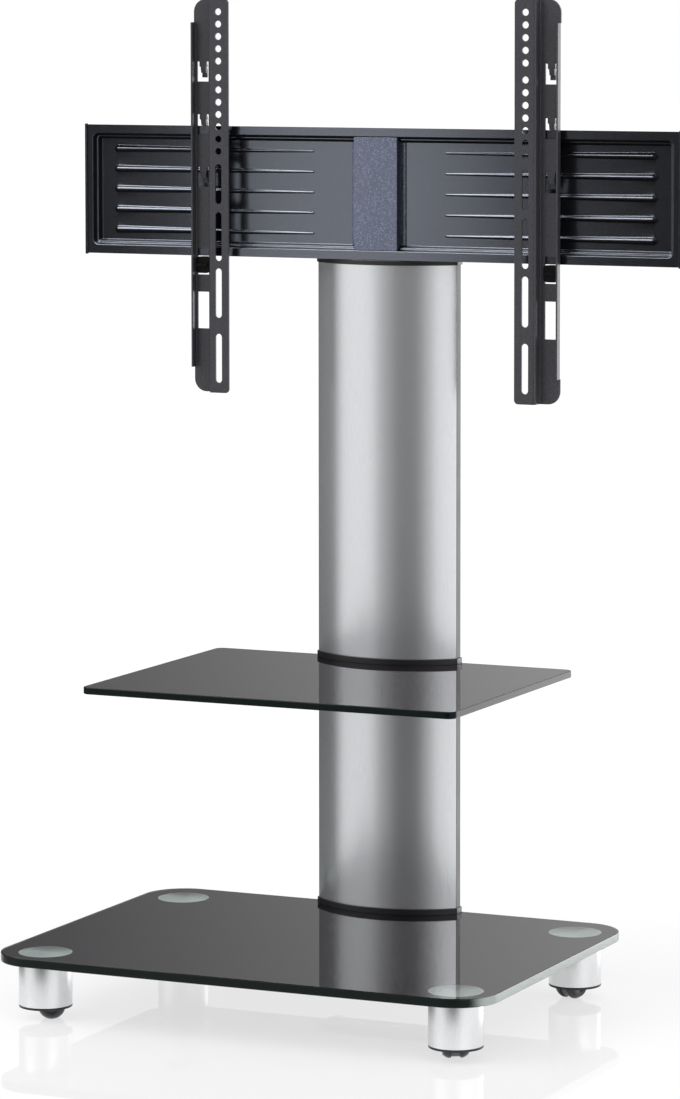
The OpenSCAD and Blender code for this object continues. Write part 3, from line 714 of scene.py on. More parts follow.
    @staticmethod
    def lathe(
        shape: bmesh.types.BMesh, profile: Sequence[Flat], where: Matrix, steps: int = 96,
    ) -> None:
        """Adds a closed turned shape.

        Args:
            shape: the shape to add to.
            profile: radius and height of each corner, all the way round its section.
            where: from the lathe's axis to the shape.
            steps: faces round the axis.
        """
        rows = []
        for radius, height in profile:
            if radius < ON_AXIS:
                rows.append([shape.verts.new(where @ Vector((0, 0, height)))] * steps)
                continue
            rows.append([
                shape.verts.new(where @ Vector((x, y, height)))
                for x, y in Bench.circle((0, 0), radius, steps)
            ])
        made = []
        for row, upper in zip(rows, rows[1:] + rows[:1]):
            for s in range(steps):
                e = (s + 1) % steps
                corners = list(dict.fromkeys((row[s], row[e], upper[e], upper[s])))
                if len(corners) > 2:
                    made.append(shape.faces.new(corners))
        bmesh.ops.recalc_face_normals(shape, faces=made)

    @staticmethod
    def rounded_profile(corners: Sequence[Flat], radius: float, steps: int = 3) -> list[Flat]:
        """Returns a closed section with its corners rounded; corners on the axis stay."""
        made: list[Flat] = []
        count = len(corners)
        for k, corner in enumerate(corners):
            if corner[0] < ON_AXIS:
                made.append(corner)
                continue
            here = Vector(corner)
            before = Vector(corners[k - 1]) - here
            after = Vector(corners[(k + 1) % count]) - here
            cut = min(radius, before.length * MOST_CUT, after.length * MOST_CUT)
            start = here + before.normalized() * cut
            end = here + after.normalized() * cut
            for s in range(steps + 1):
                t = s / steps
                point = start * (1 - t) ** 2 + here * (2 * t * (1 - t)) + end * t ** 2
                made.append((point.x, point.y))
        return made

    @staticmethod
    def block(shape: bmesh.types.BMesh, low: Sequence[float], high: Sequence[float]) -> None:
        """Adds a box between two corners."""
        size = [h - l for l, h in zip(low, high)]
        middle = Vector([(l + h) / 2 for l, h in zip(low, high)])
        where = Matrix.Translation(middle) @ Matrix.Diagonal((*size, 1))
        bmesh.ops.create_cube(shape, size=1.0, matrix=where)


def dress(
    piece: bpy.types.Object, finish: Finish, *nodes: str, body: str = Body.STAND.value,
    more: Sequence[Finish] = (),
) -> None:
    """Gives a piece its finish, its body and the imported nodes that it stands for.

    Args:
        piece: the piece.
        finish: its main finish.
        nodes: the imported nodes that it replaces.
        body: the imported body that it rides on.
        more: further finishes, by face material index.
    """
    piece.data.materials.clear()
    for each in (finish, *more):
        piece.data.materials.append(each.material())
    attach(piece, body)
    if nodes:
        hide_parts(*nodes)
    log.info("%s: %d faces on %s", piece.name, len(piece.data.polygons), body)


def dress_copies(*rows: tuple[str, Finish, float], body: str = Body.STAND.value) -> None:
    """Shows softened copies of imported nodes, from each one's name, finish and edge width."""
    for node, finish, edge in rows:
        dress(Bench.refine(node, edge), finish, node, body=body)


# Geometry trees


class FieldTree(Graph):
    """A Geometry Nodes tree with named inputs, which ends in plain geometry."""

    def __init__(self, name: str, sockets: dict[str, str]) -> None:
        """Makes the tree and its inputs.

        Args:
            name: the tree's name.
            sockets: the type of each input by its name.
        """
        super().__init__(bpy.data.node_groups.new(name, "GeometryNodeTree"))
        face = self.tree.interface
        face.new_socket("Geometry", in_out="INPUT", socket_type="NodeSocketGeometry")
        for label, kind in {**sockets, "Finish": "NodeSocketMaterial"}.items():
            face.new_socket(label, in_out="INPUT", socket_type=kind)
        face.new_socket("Geometry", in_out="OUTPUT", socket_type="NodeSocketGeometry")
        self.given = self.node("NodeGroupInput")

    def close(self, geometry: Signal) -> None:
        """Ends the tree in real geometry with its material set."""
        real = self.node("GeometryNodeRealizeInstances", None, {0: geometry})
        dressed = self.node(
            "GeometryNodeSetMaterial", None, {"Geometry": real[0], "Material": self.given["Finish"]}
        )
        self.node("NodeGroupOutput", None, {0: dressed[0]})

    def work(self, piece: bpy.types.Object, values: dict) -> bpy.types.Object:
        """Runs the tree on a piece and keeps the result as its mesh.

        Args:
            piece: the piece whose mesh goes in.
            values: the inputs' values by their names.

        Returns:
            The piece with its new mesh.
        """
        modifier = piece.modifiers.new(self.tree.name, "NODES")
        modifier.node_group = self.tree
        for item in self.tree.interface.items_tree:
            if item.in_out == "INPUT" and item.name in values:
                modifier[item.identifier] = values[item.name]
        return Bench.settle(piece)


class FastenerTree(FieldTree):
    """Sets one fastener out on every point, turned about its own axis by chance."""

    def __init__(self) -> None:
        """Builds the tree."""
        super().__init__("set_out_fasteners", {
            "Fastener": "NodeSocketObject", "Facing": "NodeSocketVector",
            "Most Turn": "NodeSocketFloat", "Seed": "NodeSocketInt",
        })
        template = self.node("GeometryNodeObjectInfo", None, {"Object": self.given["Fastener"]})
        turn = self.node("FunctionNodeRandomValue", {"data_type": "FLOAT"}, {
            3: self.given["Most Turn"], "Seed": self.given["Seed"],
        })[1]
        spin = self.node("FunctionNodeAxisAngleToRotation", None, {
            "Axis": (0, 0, 1), "Angle": turn,
        })
        facing = self.node("FunctionNodeEulerToRotation", None, {0: self.given["Facing"]})
        turned = self.node("FunctionNodeRotateRotation", {"rotation_space": "LOCAL"}, {
            0: facing[0], 1: spin[0],
        })
        set_out = self.node("GeometryNodeInstanceOnPoints", None, {
            "Points": self.given["Geometry"], "Instance": template["Geometry"],
            "Rotation": turned[0],
        })
        self.close(set_out[0])


class TrayTree(FieldTree):
    """Presses a flat sheet in the X-Z plane into a two-step tray with tapering beads."""

    STRAIGHT = 0.45
    EASED = 0.55

    def __init__(self) -> None:
        """Builds the tree; every size goes in in metres."""
        sizes = (
            "Width", "Height", "Middle Z", "Corner Radius", "Rim Width", "Wall Slope", "Ledge",
            "Depth", "Bead Pitch", "Bead Count", "Bead Outer", "Bead Inner", "Bead Radius",
            "Bead Tip", "Bead Spread",
        )
        super().__init__("press_tray", {label: "NodeSocketFloat" for label in sizes})
        size = self.given
        place = self.parts(self.node("GeometryNodeInputPosition")[0])
        across, up = abs(place["X"]), place["Z"] - size["Middle Z"]
        inset = self.inset(across, abs(up))
        half_depth = size["Depth"] / 2
        first = self.wall(inset, size["Rim Width"])
        second = self.wall(inset, size["Rim Width"] + size["Wall Slope"] + size["Ledge"])
        sunk = half_depth * (first + second)
        raised = self.bead(across, up)
        moved = self.node("ShaderNodeCombineXYZ", None, {
            "X": place["X"], "Y": place["Y"] + sunk - raised, "Z": place["Z"],
        })
        self.close(self.node("GeometryNodeSetPosition", None, {
            "Geometry": size["Geometry"], "Position": moved[0],
        })[0])

    def inset(self, across: Signal, up: Signal) -> Signal:
        """Returns the distance to the tray's outline, with round corners."""
        size = self.given
        radius = size["Corner Radius"]
        x = across - size["Width"] / 2 + radius
        z = up - size["Height"] / 2 + radius
        outer = x.most(0.0).hypot(z.most(0.0))
        return radius - outer - x.most(z).least(0.0)

    def wall(self, inset: Signal, start: Signal) -> Signal:
        """Returns 0 before a sloping wall and 1 past it, eased at both ends."""
        share = ((inset - start) / self.given["Wall Slope"]).most(0.0).least(1.0)
        eased = share * share * (3 - 2 * share)
        return share * self.STRAIGHT + eased * self.EASED

    def bead(self, across: Signal, up: Signal) -> Signal:
        """Returns the height of the beads, which taper to a tip towards the middle."""
        size = self.given
        pitch, count = size["Bead Pitch"], size["Bead Count"]
        shifted = up / pitch + count / 2
        inside = shifted.maths("COMPARE", (shifted / count - 0.5), 0.0, 0.5)
        off = (shifted - shifted.maths("FLOOR", shifted) - 0.5) * pitch
        length = size["Bead Outer"] - size["Bead Inner"]
        along = ((size["Bead Outer"] - across) / length).most(0.0).least(1.0)
        radius = size["Bead Radius"] + (size["Bead Tip"] - size["Bead Radius"]) * along
        past = (across - size["Bead Outer"]).most(size["Bead Inner"] - across).most(0.0)
        away = off.hypot(past) / (radius * size["Bead Spread"])
        dome = (1 - away * away).most(0.0)
        return radius * dome * dome.root() * inside


@dataclass(frozen=True)
class Fastener:
    """A bolt or screw whose head ends at zero and whose shank points up."""

    radius: float
    head: float
    shank: float
    length: float

    @staticmethod
    def turn(
        shape: bmesh.types.BMesh, radius: float, low: float, high: float, sides: int, edge: float,
    ) -> None:
        """Adds a closed cylinder or prism with softened ends."""
        corners = [(0, low), (radius, low), (radius, high), (0, high)]
        Bench.lathe(shape, Bench.rounded_profile(corners, edge), Matrix.Identity(4), sides)

    def template(self) -> bpy.types.Object:
        """Returns one fastener."""
        raise NotImplementedError


class Hexagon(Fastener):
    """A hexagon bolt with a chamfered crown."""

    SOFT = 0.5
    CROWN = 0.84
    CROWN_RISE = 0.01
    CROWN_SOFT = 0.2

    def template(self) -> bpy.types.Object:
        """Returns the bolt."""
        shape, middle = bmesh.new(), -self.head / 2
        self.turn(shape, self.radius, -self.head, 0.0, 6, self.SOFT)
        crown = -self.head - self.CROWN_RISE
        self.turn(shape, self.radius * self.CROWN, crown, middle, 48, self.CROWN_SOFT)
        self.turn(shape, self.shank / 2, middle, self.length, 32, self.SOFT)
        return Bench.raise_object("hexagon_template", shape)


class Dome(Fastener):
    """A bolt with a low round head."""

    ROUND = 1.2
    SOFT = 0.5

    def template(self) -> bpy.types.Object:
        """Returns the bolt."""
        shape = bmesh.new()
        self.turn(shape, self.radius, -self.head, 0.0, 48, self.ROUND)
        self.turn(shape, self.shank / 2, -self.head / 2, self.length, 32, self.SOFT)
        return Bench.raise_object("dome_template", shape)


class Crosshead(Fastener):
    """A pan-head screw with a cross recess."""

    ARM_HALF = 0.14
    ARM_REACH = 0.55
    PAN_SOFT = 0.4
    PLUG = 0.7
    PLUG_DEPTH = 0.35
    PLUG_GAP = 0.01
    PLUG_SOFT = 0.05
    SHANK_DEPTH = 0.3

    def template(self) -> bpy.types.Object:
        """Returns the screw."""
        a, b = self.radius * self.ARM_HALF, self.radius * self.ARM_REACH
        cross: Ring = [(b, -a), (b, a), (a, a), (a, b), (-a, b), (-a, a), (-b, a), (-b, -a),
                       (-a, -a), (-a, -b), (a, -b), (a, -a)]
        rings = [Bench.circle((0, 0), self.radius, 40), cross]
        pan = Bench.plate("pan_template", rings, -self.head, 0, self.PAN_SOFT)
        shape = Bench.worked(pan.data)
        bpy.data.objects.remove(pan)
        bmesh.ops.scale(shape, vec=(1 / MM,) * 3, verts=shape.verts)
        self.turn(shape, self.radius * self.PLUG, -self.head * self.PLUG_DEPTH, -self.PLUG_GAP, 24,
                  self.PLUG_SOFT)
        self.turn(shape, self.shank / 2, -self.head * self.SHANK_DEPTH, self.length, 24,
                  self.PAN_SOFT)
        return Bench.raise_object("crosshead_template", shape)


class FastenerShop:
    """Sets fasteners out."""

    def __init__(self) -> None:
        """Makes the tree that every set shares."""
        self.tree = FastenerTree()

    def set_out(
        self, name: str, node: str, fastener: Fastener, points: Sequence[Sequence[float]],
        seed: int, facing: Place = (0, 0, 0),
    ) -> None:
        """Puts a fastener on each point and shows them as one zinc plated piece.

        Args:
            name: the piece's name.
            node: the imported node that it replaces.
            fastener: what is set out.
            points: where they go, in millimetres.
            seed: for the turn of each about its own axis.
            facing: the turn from the template's axis to theirs, in radians.
        """
        template = fastener.template()
        spots = bpy.data.meshes.new(name)
        spots.from_pydata([[c * MM for c in point] for point in points], [], [])
        piece = self.tree.work(Bench.show(name, spots), {
            "Fastener": template, "Facing": facing, "Most Turn": math.tau, "Seed": seed,
            "Finish": ZINC.material(),
        })
        bpy.data.objects.remove(template)
        Bench.shade(piece.data, CREASE)
        dress(piece, ZINC, node)


# Sub-assemblies


@dataclass
class Pane:
    """A glass pane with black lacquer on its underside."""

    name: str
    node: str
    width: float
    depth: float
    corner: float
    low: float
    high: float
    middle: Flat
    holes: list[Ring] = field(default_factory=list)
    windows: list[Ring] = field(default_factory=list)
    rim: Finish = PANE_EDGE
    flat: float = 0.95
    film: float = 0.1
    edge: float = 1.0
    film_inset: float = 1.1

    def build(self) -> None:
        """Makes the pane and its lacquer."""
        outline = Bench.rounded(self.width, self.depth, self.corner, self.middle)
        rings = [outline, *self.holes]
        glass = Bench.plate(f"{self.name}_pane", rings, self.low, self.high, self.edge)
        dress(glass, PANE, self.node, more=(self.rim,))
        for face in glass.data.polygons:
            face.material_index = int(abs(face.normal.z) < self.flat)
        inner = Bench.rounded(
            self.width - 2 * self.film_inset, self.depth - 2 * self.film_inset,
            self.corner - self.film_inset, self.middle,
        )
        film = Bench.plate(
            f"{self.name}_lacquer", [inner, *self.holes, *self.windows],
            self.low + self.film, self.low + 2 * self.film, self.film / 4, 1,
        )
        dress(film, FILM)


@dataclass
class Foot:
    """One aluminium foot with the castor inside it."""

    corner: Corner
    across: float = 250.0
    back: float = 172.0
    radius: float = 30.0
    wall: float = 3.0
    glass_z: float = 66.0
    disc: float = 3.0
    bond: float = 0.15
    spigot: float = 6.0
    ground_gap: float = 13.5
    ring: float = 2.5
    cavity: float = 25.3
    roof: float = 34.6
    roof_thick: float = 6.0
    stem: float = 8.0
    wheel_radius: float = 15.5
    wheel_width: float = 9.0
    hood: float = 9.0
    side_gap: float = 0.5
    trail: float = 7.0
    axle: float = 4.0
    fit: float = 0.1
    tread_share: float = 0.33
    shoulder_share: float = 0.77
    hub_share: float = 0.45
    dish: float = 0.8
    dome_steps: int = 8
    tread_corner: float = 0.5
    groove: float = 0.35
    groove_steps: tuple[float, float, float, float] = (1.1, 1.3, 1.7, 1.9)
    hub_corner: Flat = (0.5, 0.3)
    boss_shares: Flat = (0.62, 0.58)
    boss_depth: float = 0.5
    disc_edge: float = 0.4
    sleeve_edge: float = 0.6
    cup_edge: float = 0.5

    def build(self) -> None:
        """Makes the disc, the sleeve, the cup and the castor."""
        name = self.corner.label
        x, y = self.corner.centre(self.across, self.back)
        here = Matrix.Translation((x, y, 0))
        bore = self.radius - self.wall
        plug = bore - self.fit
        disc_z = self.glass_z - self.disc
        sleeve_z = self.ground_gap + self.ring
        roof_top = self.roof + self.roof_thick
        stem_hole = self.stem / 2 + self.fit
        turned = Turned(
            f"{name}_turned_face", Slot.FOOT, (0.80, 0.86, 0.84), roughness=0.42, metallic=0.9,
            centre=(x * MM, y * MM, 0.0), turned=0.8,
        )
        face_z = self.glass_z + self.bond
        self.turned_piece(f"{name}_disc", here, [
            (0, face_z), (self.radius, face_z), (self.radius, disc_z),
            (plug, disc_z), (plug, disc_z - self.spigot), (0, disc_z - self.spigot),
        ], self.disc_edge, turned, f"{name}_foot_disc")
        self.turned_piece(f"{name}_sleeve", here, [
            (self.radius, sleeve_z), (self.radius, disc_z), (bore, disc_z), (bore, sleeve_z),
        ], self.sleeve_edge, SLEEVE, f"{name}_foot_sleeve")
        self.turned_piece(f"{name}_cup", here, [
            (self.cavity, self.ground_gap), (self.radius - self.fit, self.ground_gap),
            (self.radius - self.fit, sleeve_z), (plug, sleeve_z), (plug, roof_top),
            (stem_hole, roof_top), (stem_hole, self.roof), (self.cavity, self.roof),
        ], self.cup_edge, COLLAR, f"{name}_foot_cup")
        self.castor(here)

    @staticmethod
    def turned_piece(
        name: str, where: Matrix, corners: Sequence[Flat], edge: float, finish: Finish, node: str,
    ) -> None:
        """Turns one round piece of the foot and dresses it."""
        shape = bmesh.new()
        Bench.lathe(shape, Bench.rounded_profile(corners, edge), where)
        dress(Bench.raise_object(name, shape), finish, node)

    def wheel_section(self) -> list[Flat]:
        """Returns the section of one wheel from its inner face outwards."""
        radius, width = self.wheel_radius, self.wheel_width
        tread, outer = width * self.tread_share, radius * self.shoulder_share
        dome_z = (tread ** 2 - width ** 2 + radius ** 2 - outer ** 2) / (2 * (tread - width))
        dome_r = math.hypot(radius, tread - dome_z)
        bore, soft, low = self.axle / 2 + self.fit, self.tread_corner, radius - self.groove
        corners: list[Flat] = [(bore, 0), (radius - soft, 0), (radius, soft)]
        corners += list(zip((radius, low, low, radius), self.groove_steps))
        for s in range(self.dome_steps + 1):
            z = tread + (width - tread) * s / self.dome_steps
            corners.append((math.sqrt(dome_r ** 2 - (z - dome_z) ** 2), z))
        hub, floor = radius * self.hub_share, width - self.dish
        boss = width - self.dish * self.boss_depth
        out, down = self.hub_corner
        foot, top = self.boss_shares
        corners += [(hub + out, width), (hub, width - down), (hub, floor)]
        corners += [(hub * foot, floor), (hub * top, boss), (bore, boss)]
        return corners

    def castor(self, here: Matrix) -> None:
        """Makes the castor's body, its pair of wheels and its axle."""
        name = self.corner.label
        axle = (
            here @ Matrix.Rotation(self.corner.turn, 4, "Z")
            @ Matrix.Translation((self.trail, 0, self.wheel_radius))
            @ Matrix.Rotation(math.pi / 2, 4, "X")
        )
        out = Matrix.Translation((0, 0, self.hood / 2 + self.side_gap))
        shape = bmesh.new()
        for turn in (0.0, math.pi):
            side = Matrix.Rotation(turn, 4, "X") @ out
            Bench.lathe(shape, self.wheel_section(), axle @ side, 72)
        wheels, pair = Bench.raise_object(f"{name}_wheels", shape), f"{name}_wheel_pair"
        dress(wheels, WHEEL, f"{name}_castor_wheels", body=pair)
        dress_copies((f"{name}_castor_body", CASTOR, 0.5), body=f"{name}_castor")
        dress_copies((f"{name}_castor_axle", ZINC, 0.3), body=pair)


@dataclass
class Base:
    """The base glass with its feet and the plate under it."""

    width: float = 600.0
    depth: float = 444.0
    corner: float = 50.0
    low: float = 66.0
    high: float = 76.0
    bolts: tuple[Flat, ...] = ((-62, 204), (62, 204), (-22, 181.24), (22, 181.24))
    bolt_hole: float = 4.0
    bolt_seat: float = 61.0
    window: float = 30.2

    def build(self, shop: FastenerShop) -> None:
        """Makes the glass, the feet and what clamps the post."""
        feet = [Foot(corner) for corner in Corner]
        centres = [foot.corner.centre(foot.across, foot.back) for foot in feet]
        Pane(
            "base", "base_glass", self.width, self.depth, self.corner, self.low, self.high, (0, 0),
            holes=[Bench.circle(spot, self.bolt_hole, 24) for spot in self.bolts],
            windows=[Bench.circle(spot, self.window, 96) for spot in centres],
        ).build()
        for foot in feet:
            foot.build()
        dress_copies(
            ("base_clamp_plate", POST, 0.4), ("base_gaskets", RUBBER, 0.1),
            ("base_collar", COLLAR, 0.7), ("post_foot_plate", POST, 0.4),
        )
        bolt = Hexagon(radius=5.76, head=3.96, shank=6.0, length=21.0)
        spots = [(x, y, self.bolt_seat) for x, y in self.bolts]
        shop.set_out("base_hexagon_bolts", "base_bolts", bolt, spots, seed=3)


@dataclass
class Column:
    """The curved aluminium shells, the rear covers and the post inside them."""

    edge_y: float = 205.0
    radius: float = 125.556
    axis_y: float = 294.556
    wall: float = 2.5
    sections: tuple[tuple[str, float, float], ...] = (
        ("lower_shell", 83.0, 353.5), ("upper_shell", 375.5, 832.0),
    )
    steps: int = 96
    edge: float = 0.4
    edge_steps: int = 3
    screw_y: float = 217.0
    screw_heights: tuple[float, ...] = (143.0, 293.5, 435.5, 772.0)

    def arc(self, radius: float) -> Ring:
        """Returns an arc of the section between the shell's two edges, left to right."""
        reach = math.acos((self.axis_y - self.edge_y) / radius)
        return [
            (radius * math.sin(reach * (2 * s / self.steps - 1)),
             self.axis_y - radius * math.cos(reach * (2 * s / self.steps - 1)))
            for s in range(self.steps + 1)
        ]

    def shell(self, node: str, low: float, high: float) -> None:
        """Extrudes one shell between two heights."""
        ring = self.arc(self.radius) + self.arc(self.radius - self.wall)[::-1]
        shape = bmesh.new()
        rows = [[shape.verts.new((x, y, z)) for x, y in ring] for z in (low, high)]
        count = len(ring)
        for s in range(count):
            e = (s + 1) % count
            shape.faces.new((rows[0][s], rows[0][e], rows[1][e], rows[1][s]))
        for row in rows:
            for s in range(self.steps):
                shape.faces.new((row[s], row[s + 1], row[count - 2 - s], row[count - 1 - s]))
        bmesh.ops.recalc_face_normals(shape, faces=shape.faces)
        piece = Bench.raise_object(f"{node}_extrusion", shape)
        Bench.soften(piece, self.edge, self.edge_steps)
        dress(piece, SHELL, node)

    def build(self, shop: FastenerShop) -> None:
        """Makes every piece of the column."""
        for node, low, high in self.sections:
            self.shell(node, low, high)
        dress_copies(
            ("lower_rear_cover", COVER, 0.6), ("upper_rear_cover", COVER, 0.6),
            ("top_cap", COLLAR, 0.7), ("post", POST, 0.5), ("post_plug", COLLAR, 0.5),
        )
        screw = Crosshead(radius=4.0, head=2.0, shank=4.0, length=8.0)
        spots = [(0, self.screw_y, z) for z in self.screw_heights]
        shop.set_out("rear_cover_screws", "cover_screws", screw, spots, 11, (math.pi / 2, 0, 0))


@dataclass
class Shelf:
    """The glass shelf and what carries it."""

    width: float = 455.0
    depth: float = 350.0
    corner: float = 10.0
    low: float = 360.5
    high: float = 368.5
    middle_y: float = 47.0
    bolts: tuple[Flat, ...] = ((-62, 204), (62, 204))
    bolt_hole: float = 4.0
    bolt_seat: float = 354.5
    slot: tuple[float, float, float, float] = (66.0, 31.0, 5.0, 200.5)

    def build(self, shop: FastenerShop) -> None:
        """Makes the shelf."""
        width, depth, radius, y = self.slot
        Pane(
            "shelf", "shelf_glass", self.width, self.depth, self.corner, self.low, self.high,
            (0, self.middle_y),
            holes=[
                Bench.rounded(width, depth, radius, (0, y), 8),
                *(Bench.circle(spot, self.bolt_hole, 24) for spot in self.bolts),
            ],
            rim=SHELF_EDGE,
        ).build()
        dress_copies(
            ("shelf_lower_collar", COLLAR, 0.7), ("shelf_upper_collar", COLLAR, 0.7),
            ("shelf_carrier", POST, 0.4), ("shelf_clamp_plate", POST, 0.4),
            ("shelf_gaskets", RUBBER, 0.1), ("shelf_carrier_screws", ZINC, 0.3),
        )
        bolt = Hexagon(radius=5.76, head=3.96, shank=6.0, length=20.0)
        spots = [(x, y, self.bolt_seat) for x, y in self.bolts]
        shop.set_out("shelf_hexagon_bolts", "shelf_bolts", bolt, spots, seed=5)


@dataclass
class MountPlate:
    """The pressed plate, its box bracket and its fixings."""

    width: float = 752.0
    height: float = 152.0
    low: float = 837.7
    front: float = 171.2
    depth: float = 12.0
    sheet: float = 2.0
    rim: float = 10.0
    slope: float = 2.6
    ledge: float = 1.4
    corner: float = 17.0
    fold_width: float = 3.0
    fold_rise: float = 1.2
    fold_front: float = 1.5
    pitch: float = 23.8
    beads: int = 5
    bead_outer: float = 338.0
    bead_inner: float = 84.0
    bead_radius: float = 3.6
    bead_tip: float = 0.8
    bead_spread: float = 1.25
    bead_stretches: tuple[Flat, ...] = ((78, 8), (92, 1), (326, 6), (343, 0.8))
    coarse: float = 3
    fine: float = 0.5
    bead_fine: float = 0.55
    between_beads: float = 6
    wall_column: float = 1.2
    wall_row: float = 1.6
    before_wall: float = 8
    wall_margin: float = 1
    past_wall: float = 0.6
    fold_edge: float = 0.6
    bolt_x: float = 15
    bolt_z: float = 40

    @property
    def middle_z(self) -> float:
        """The height of the plate's middle."""
        return self.low + self.height / 2

    @staticmethod
    def lines(stops: Sequence[Flat]) -> list[float]:
        """Returns places from zero outwards, spaced as each stretch asks.

        Args:
            stops: the end of each stretch and the spacing inside it.

        Returns:
            The places, mirrored about zero.
        """
        places, here = [0.0], 0.0
        for end, space in stops:
            count = max(1, round((end - here) / space))
            places += [here + (end - here) * k / count for k in range(1, count + 1)]
            here = end
        return [-place for place in places[:0:-1]] + places

    def sheet_grid(self) -> bmesh.types.BMesh:
        """Returns the flat sheet, divided finely where it is pressed."""
        half_w, half_h = self.width / 2, self.height / 2
        wall = self.rim + 2 * self.slope + self.ledge + self.wall_margin
        rim = self.rim - self.past_wall
        columns = self.lines((
            *self.bead_stretches, (half_w - wall - self.before_wall, self.coarse),
            (half_w - wall, self.wall_column), (half_w - rim, self.fine), (half_w, self.coarse),
        ))
        across_bead = self.bead_radius * self.bead_spread
        stops: list[Flat] = [(across_bead, self.bead_fine)]
        for k in range(1, (self.beads - 1) // 2 + 1):
            middle = k * self.pitch
            stops += [(middle - across_bead, self.between_beads),
                      (middle + across_bead, self.bead_fine)]
        stops += [(half_h - wall, self.wall_row), (half_h - rim, self.fine),
                  (half_h, self.coarse)]
        rows = self.lines(stops)
        log.info("mount plate sheet: %d by %d", len(columns), len(rows))
        shape = bmesh.new()
        grid = [
            [shape.verts.new((x, self.front, self.middle_z + z)) for x in columns] for z in rows
        ]
        for lower, upper in zip(grid, grid[1:]):
            for k in range(len(columns) - 1):
                shape.faces.new((lower[k], lower[k + 1], upper[k + 1], upper[k]))
        return shape

    def pressed(self) -> None:
        """Presses the sheet and adds the folds at its ends."""
        piece = Bench.raise_object("pressed_mount_plate", self.sheet_grid())
        values = {
            "Width": self.width, "Height": self.height, "Middle Z": self.middle_z,
            "Corner Radius": self.corner, "Rim Width": self.rim, "Wall Slope": self.slope,
            "Ledge": self.ledge, "Depth": self.depth, "Bead Pitch": self.pitch,
            "Bead Outer": self.bead_outer, "Bead Inner": self.bead_inner,
            "Bead Radius": self.bead_radius, "Bead Tip": self.bead_tip,
        }
        TrayTree().work(piece, {
            **{label: value * MM for label, value in values.items()},
            "Bead Count": float(self.beads), "Bead Spread": self.bead_spread,
            "Finish": PLATE.material(),
        })
        thick = piece.modifiers.new("sheet", "SOLIDIFY")
        thick.thickness = self.sheet * MM
        thick.offset = -1.0
        thick.use_even_offset = True
        Bench.settle(piece)
        folds = bmesh.new()
        top = self.low + self.height + self.fold_rise
        for side in (-1, 1):
            inner, outer = side * (self.width / 2 - self.fold_width), side * self.width / 2
            Bench.block(
                folds,
                (min(inner, outer), self.front - self.fold_front, self.low - self.fold_rise),
                (max(inner, outer), self.front + self.sheet, top),
            )
        bmesh.ops.recalc_face_normals(folds, faces=folds.faces)
        ends = Bench.soften(Bench.raise_object("plate_folds", folds), self.fold_edge)
        both = Bench.worked(piece.data)
        both.from_mesh(ends.data)
        bpy.data.objects.remove(ends)
        both.to_mesh(piece.data)
        both.free()
        Bench.shade(piece.data, PRESSED_CREASE)
        dress(piece, PLATE, "mount_plate")

    def build(self, shop: FastenerShop) -> None:
        """Makes the plate and what holds it."""
        self.pressed()
        dress_copies(
            ("box_bracket", BRACKET, 0.8), ("post_bracket", POST, 0.4), ("plate_nuts", ZINC, 0.4),
        )
        bolt = Dome(radius=9.0, head=3.0, shank=8.0, length=38.5)
        spots = [
            (x, self.front + self.depth, self.middle_z + z)
            for x in (-self.bolt_x, self.bolt_x) for z in (-self.bolt_z, self.bolt_z)
        ]
        shop.set_out("plate_round_bolts", "plate_bolts", bolt, spots, 7, (-math.pi / 2, 0, 0))


@dataclass
class ScreenRails:
    """The two sliding rails and their catches."""

    rail_edge: float = 0.45
    catch_edge: float = 0.4

    def build(self) -> None:
        """Makes both rails and both catches."""
        for side, rail, catch in (
            ("left", Body.LEFT_RAIL, Body.LEFT_CATCH), ("right", Body.RIGHT_RAIL, Body.RIGHT_CATCH),
        ):
            dress_copies((f"{side}_rail", RAIL, self.rail_edge), body=rail.value)
            dress_copies((f"{side}_catch", CATCH, self.catch_edge), body=catch.value)


@dataclass(frozen=True)
class Softbox:
    """A broad distant light; azimuth, elevation and spread are in degrees."""

    name: str
    azimuth: float
    elevation: float
    strength: float
    spread: float


@dataclass(frozen=True)
class Card:
    """A near card of light that only gloss shows; places and sizes are in metres."""

    name: str
    place: Place
    aim: Place
    size: Flat
    power: float


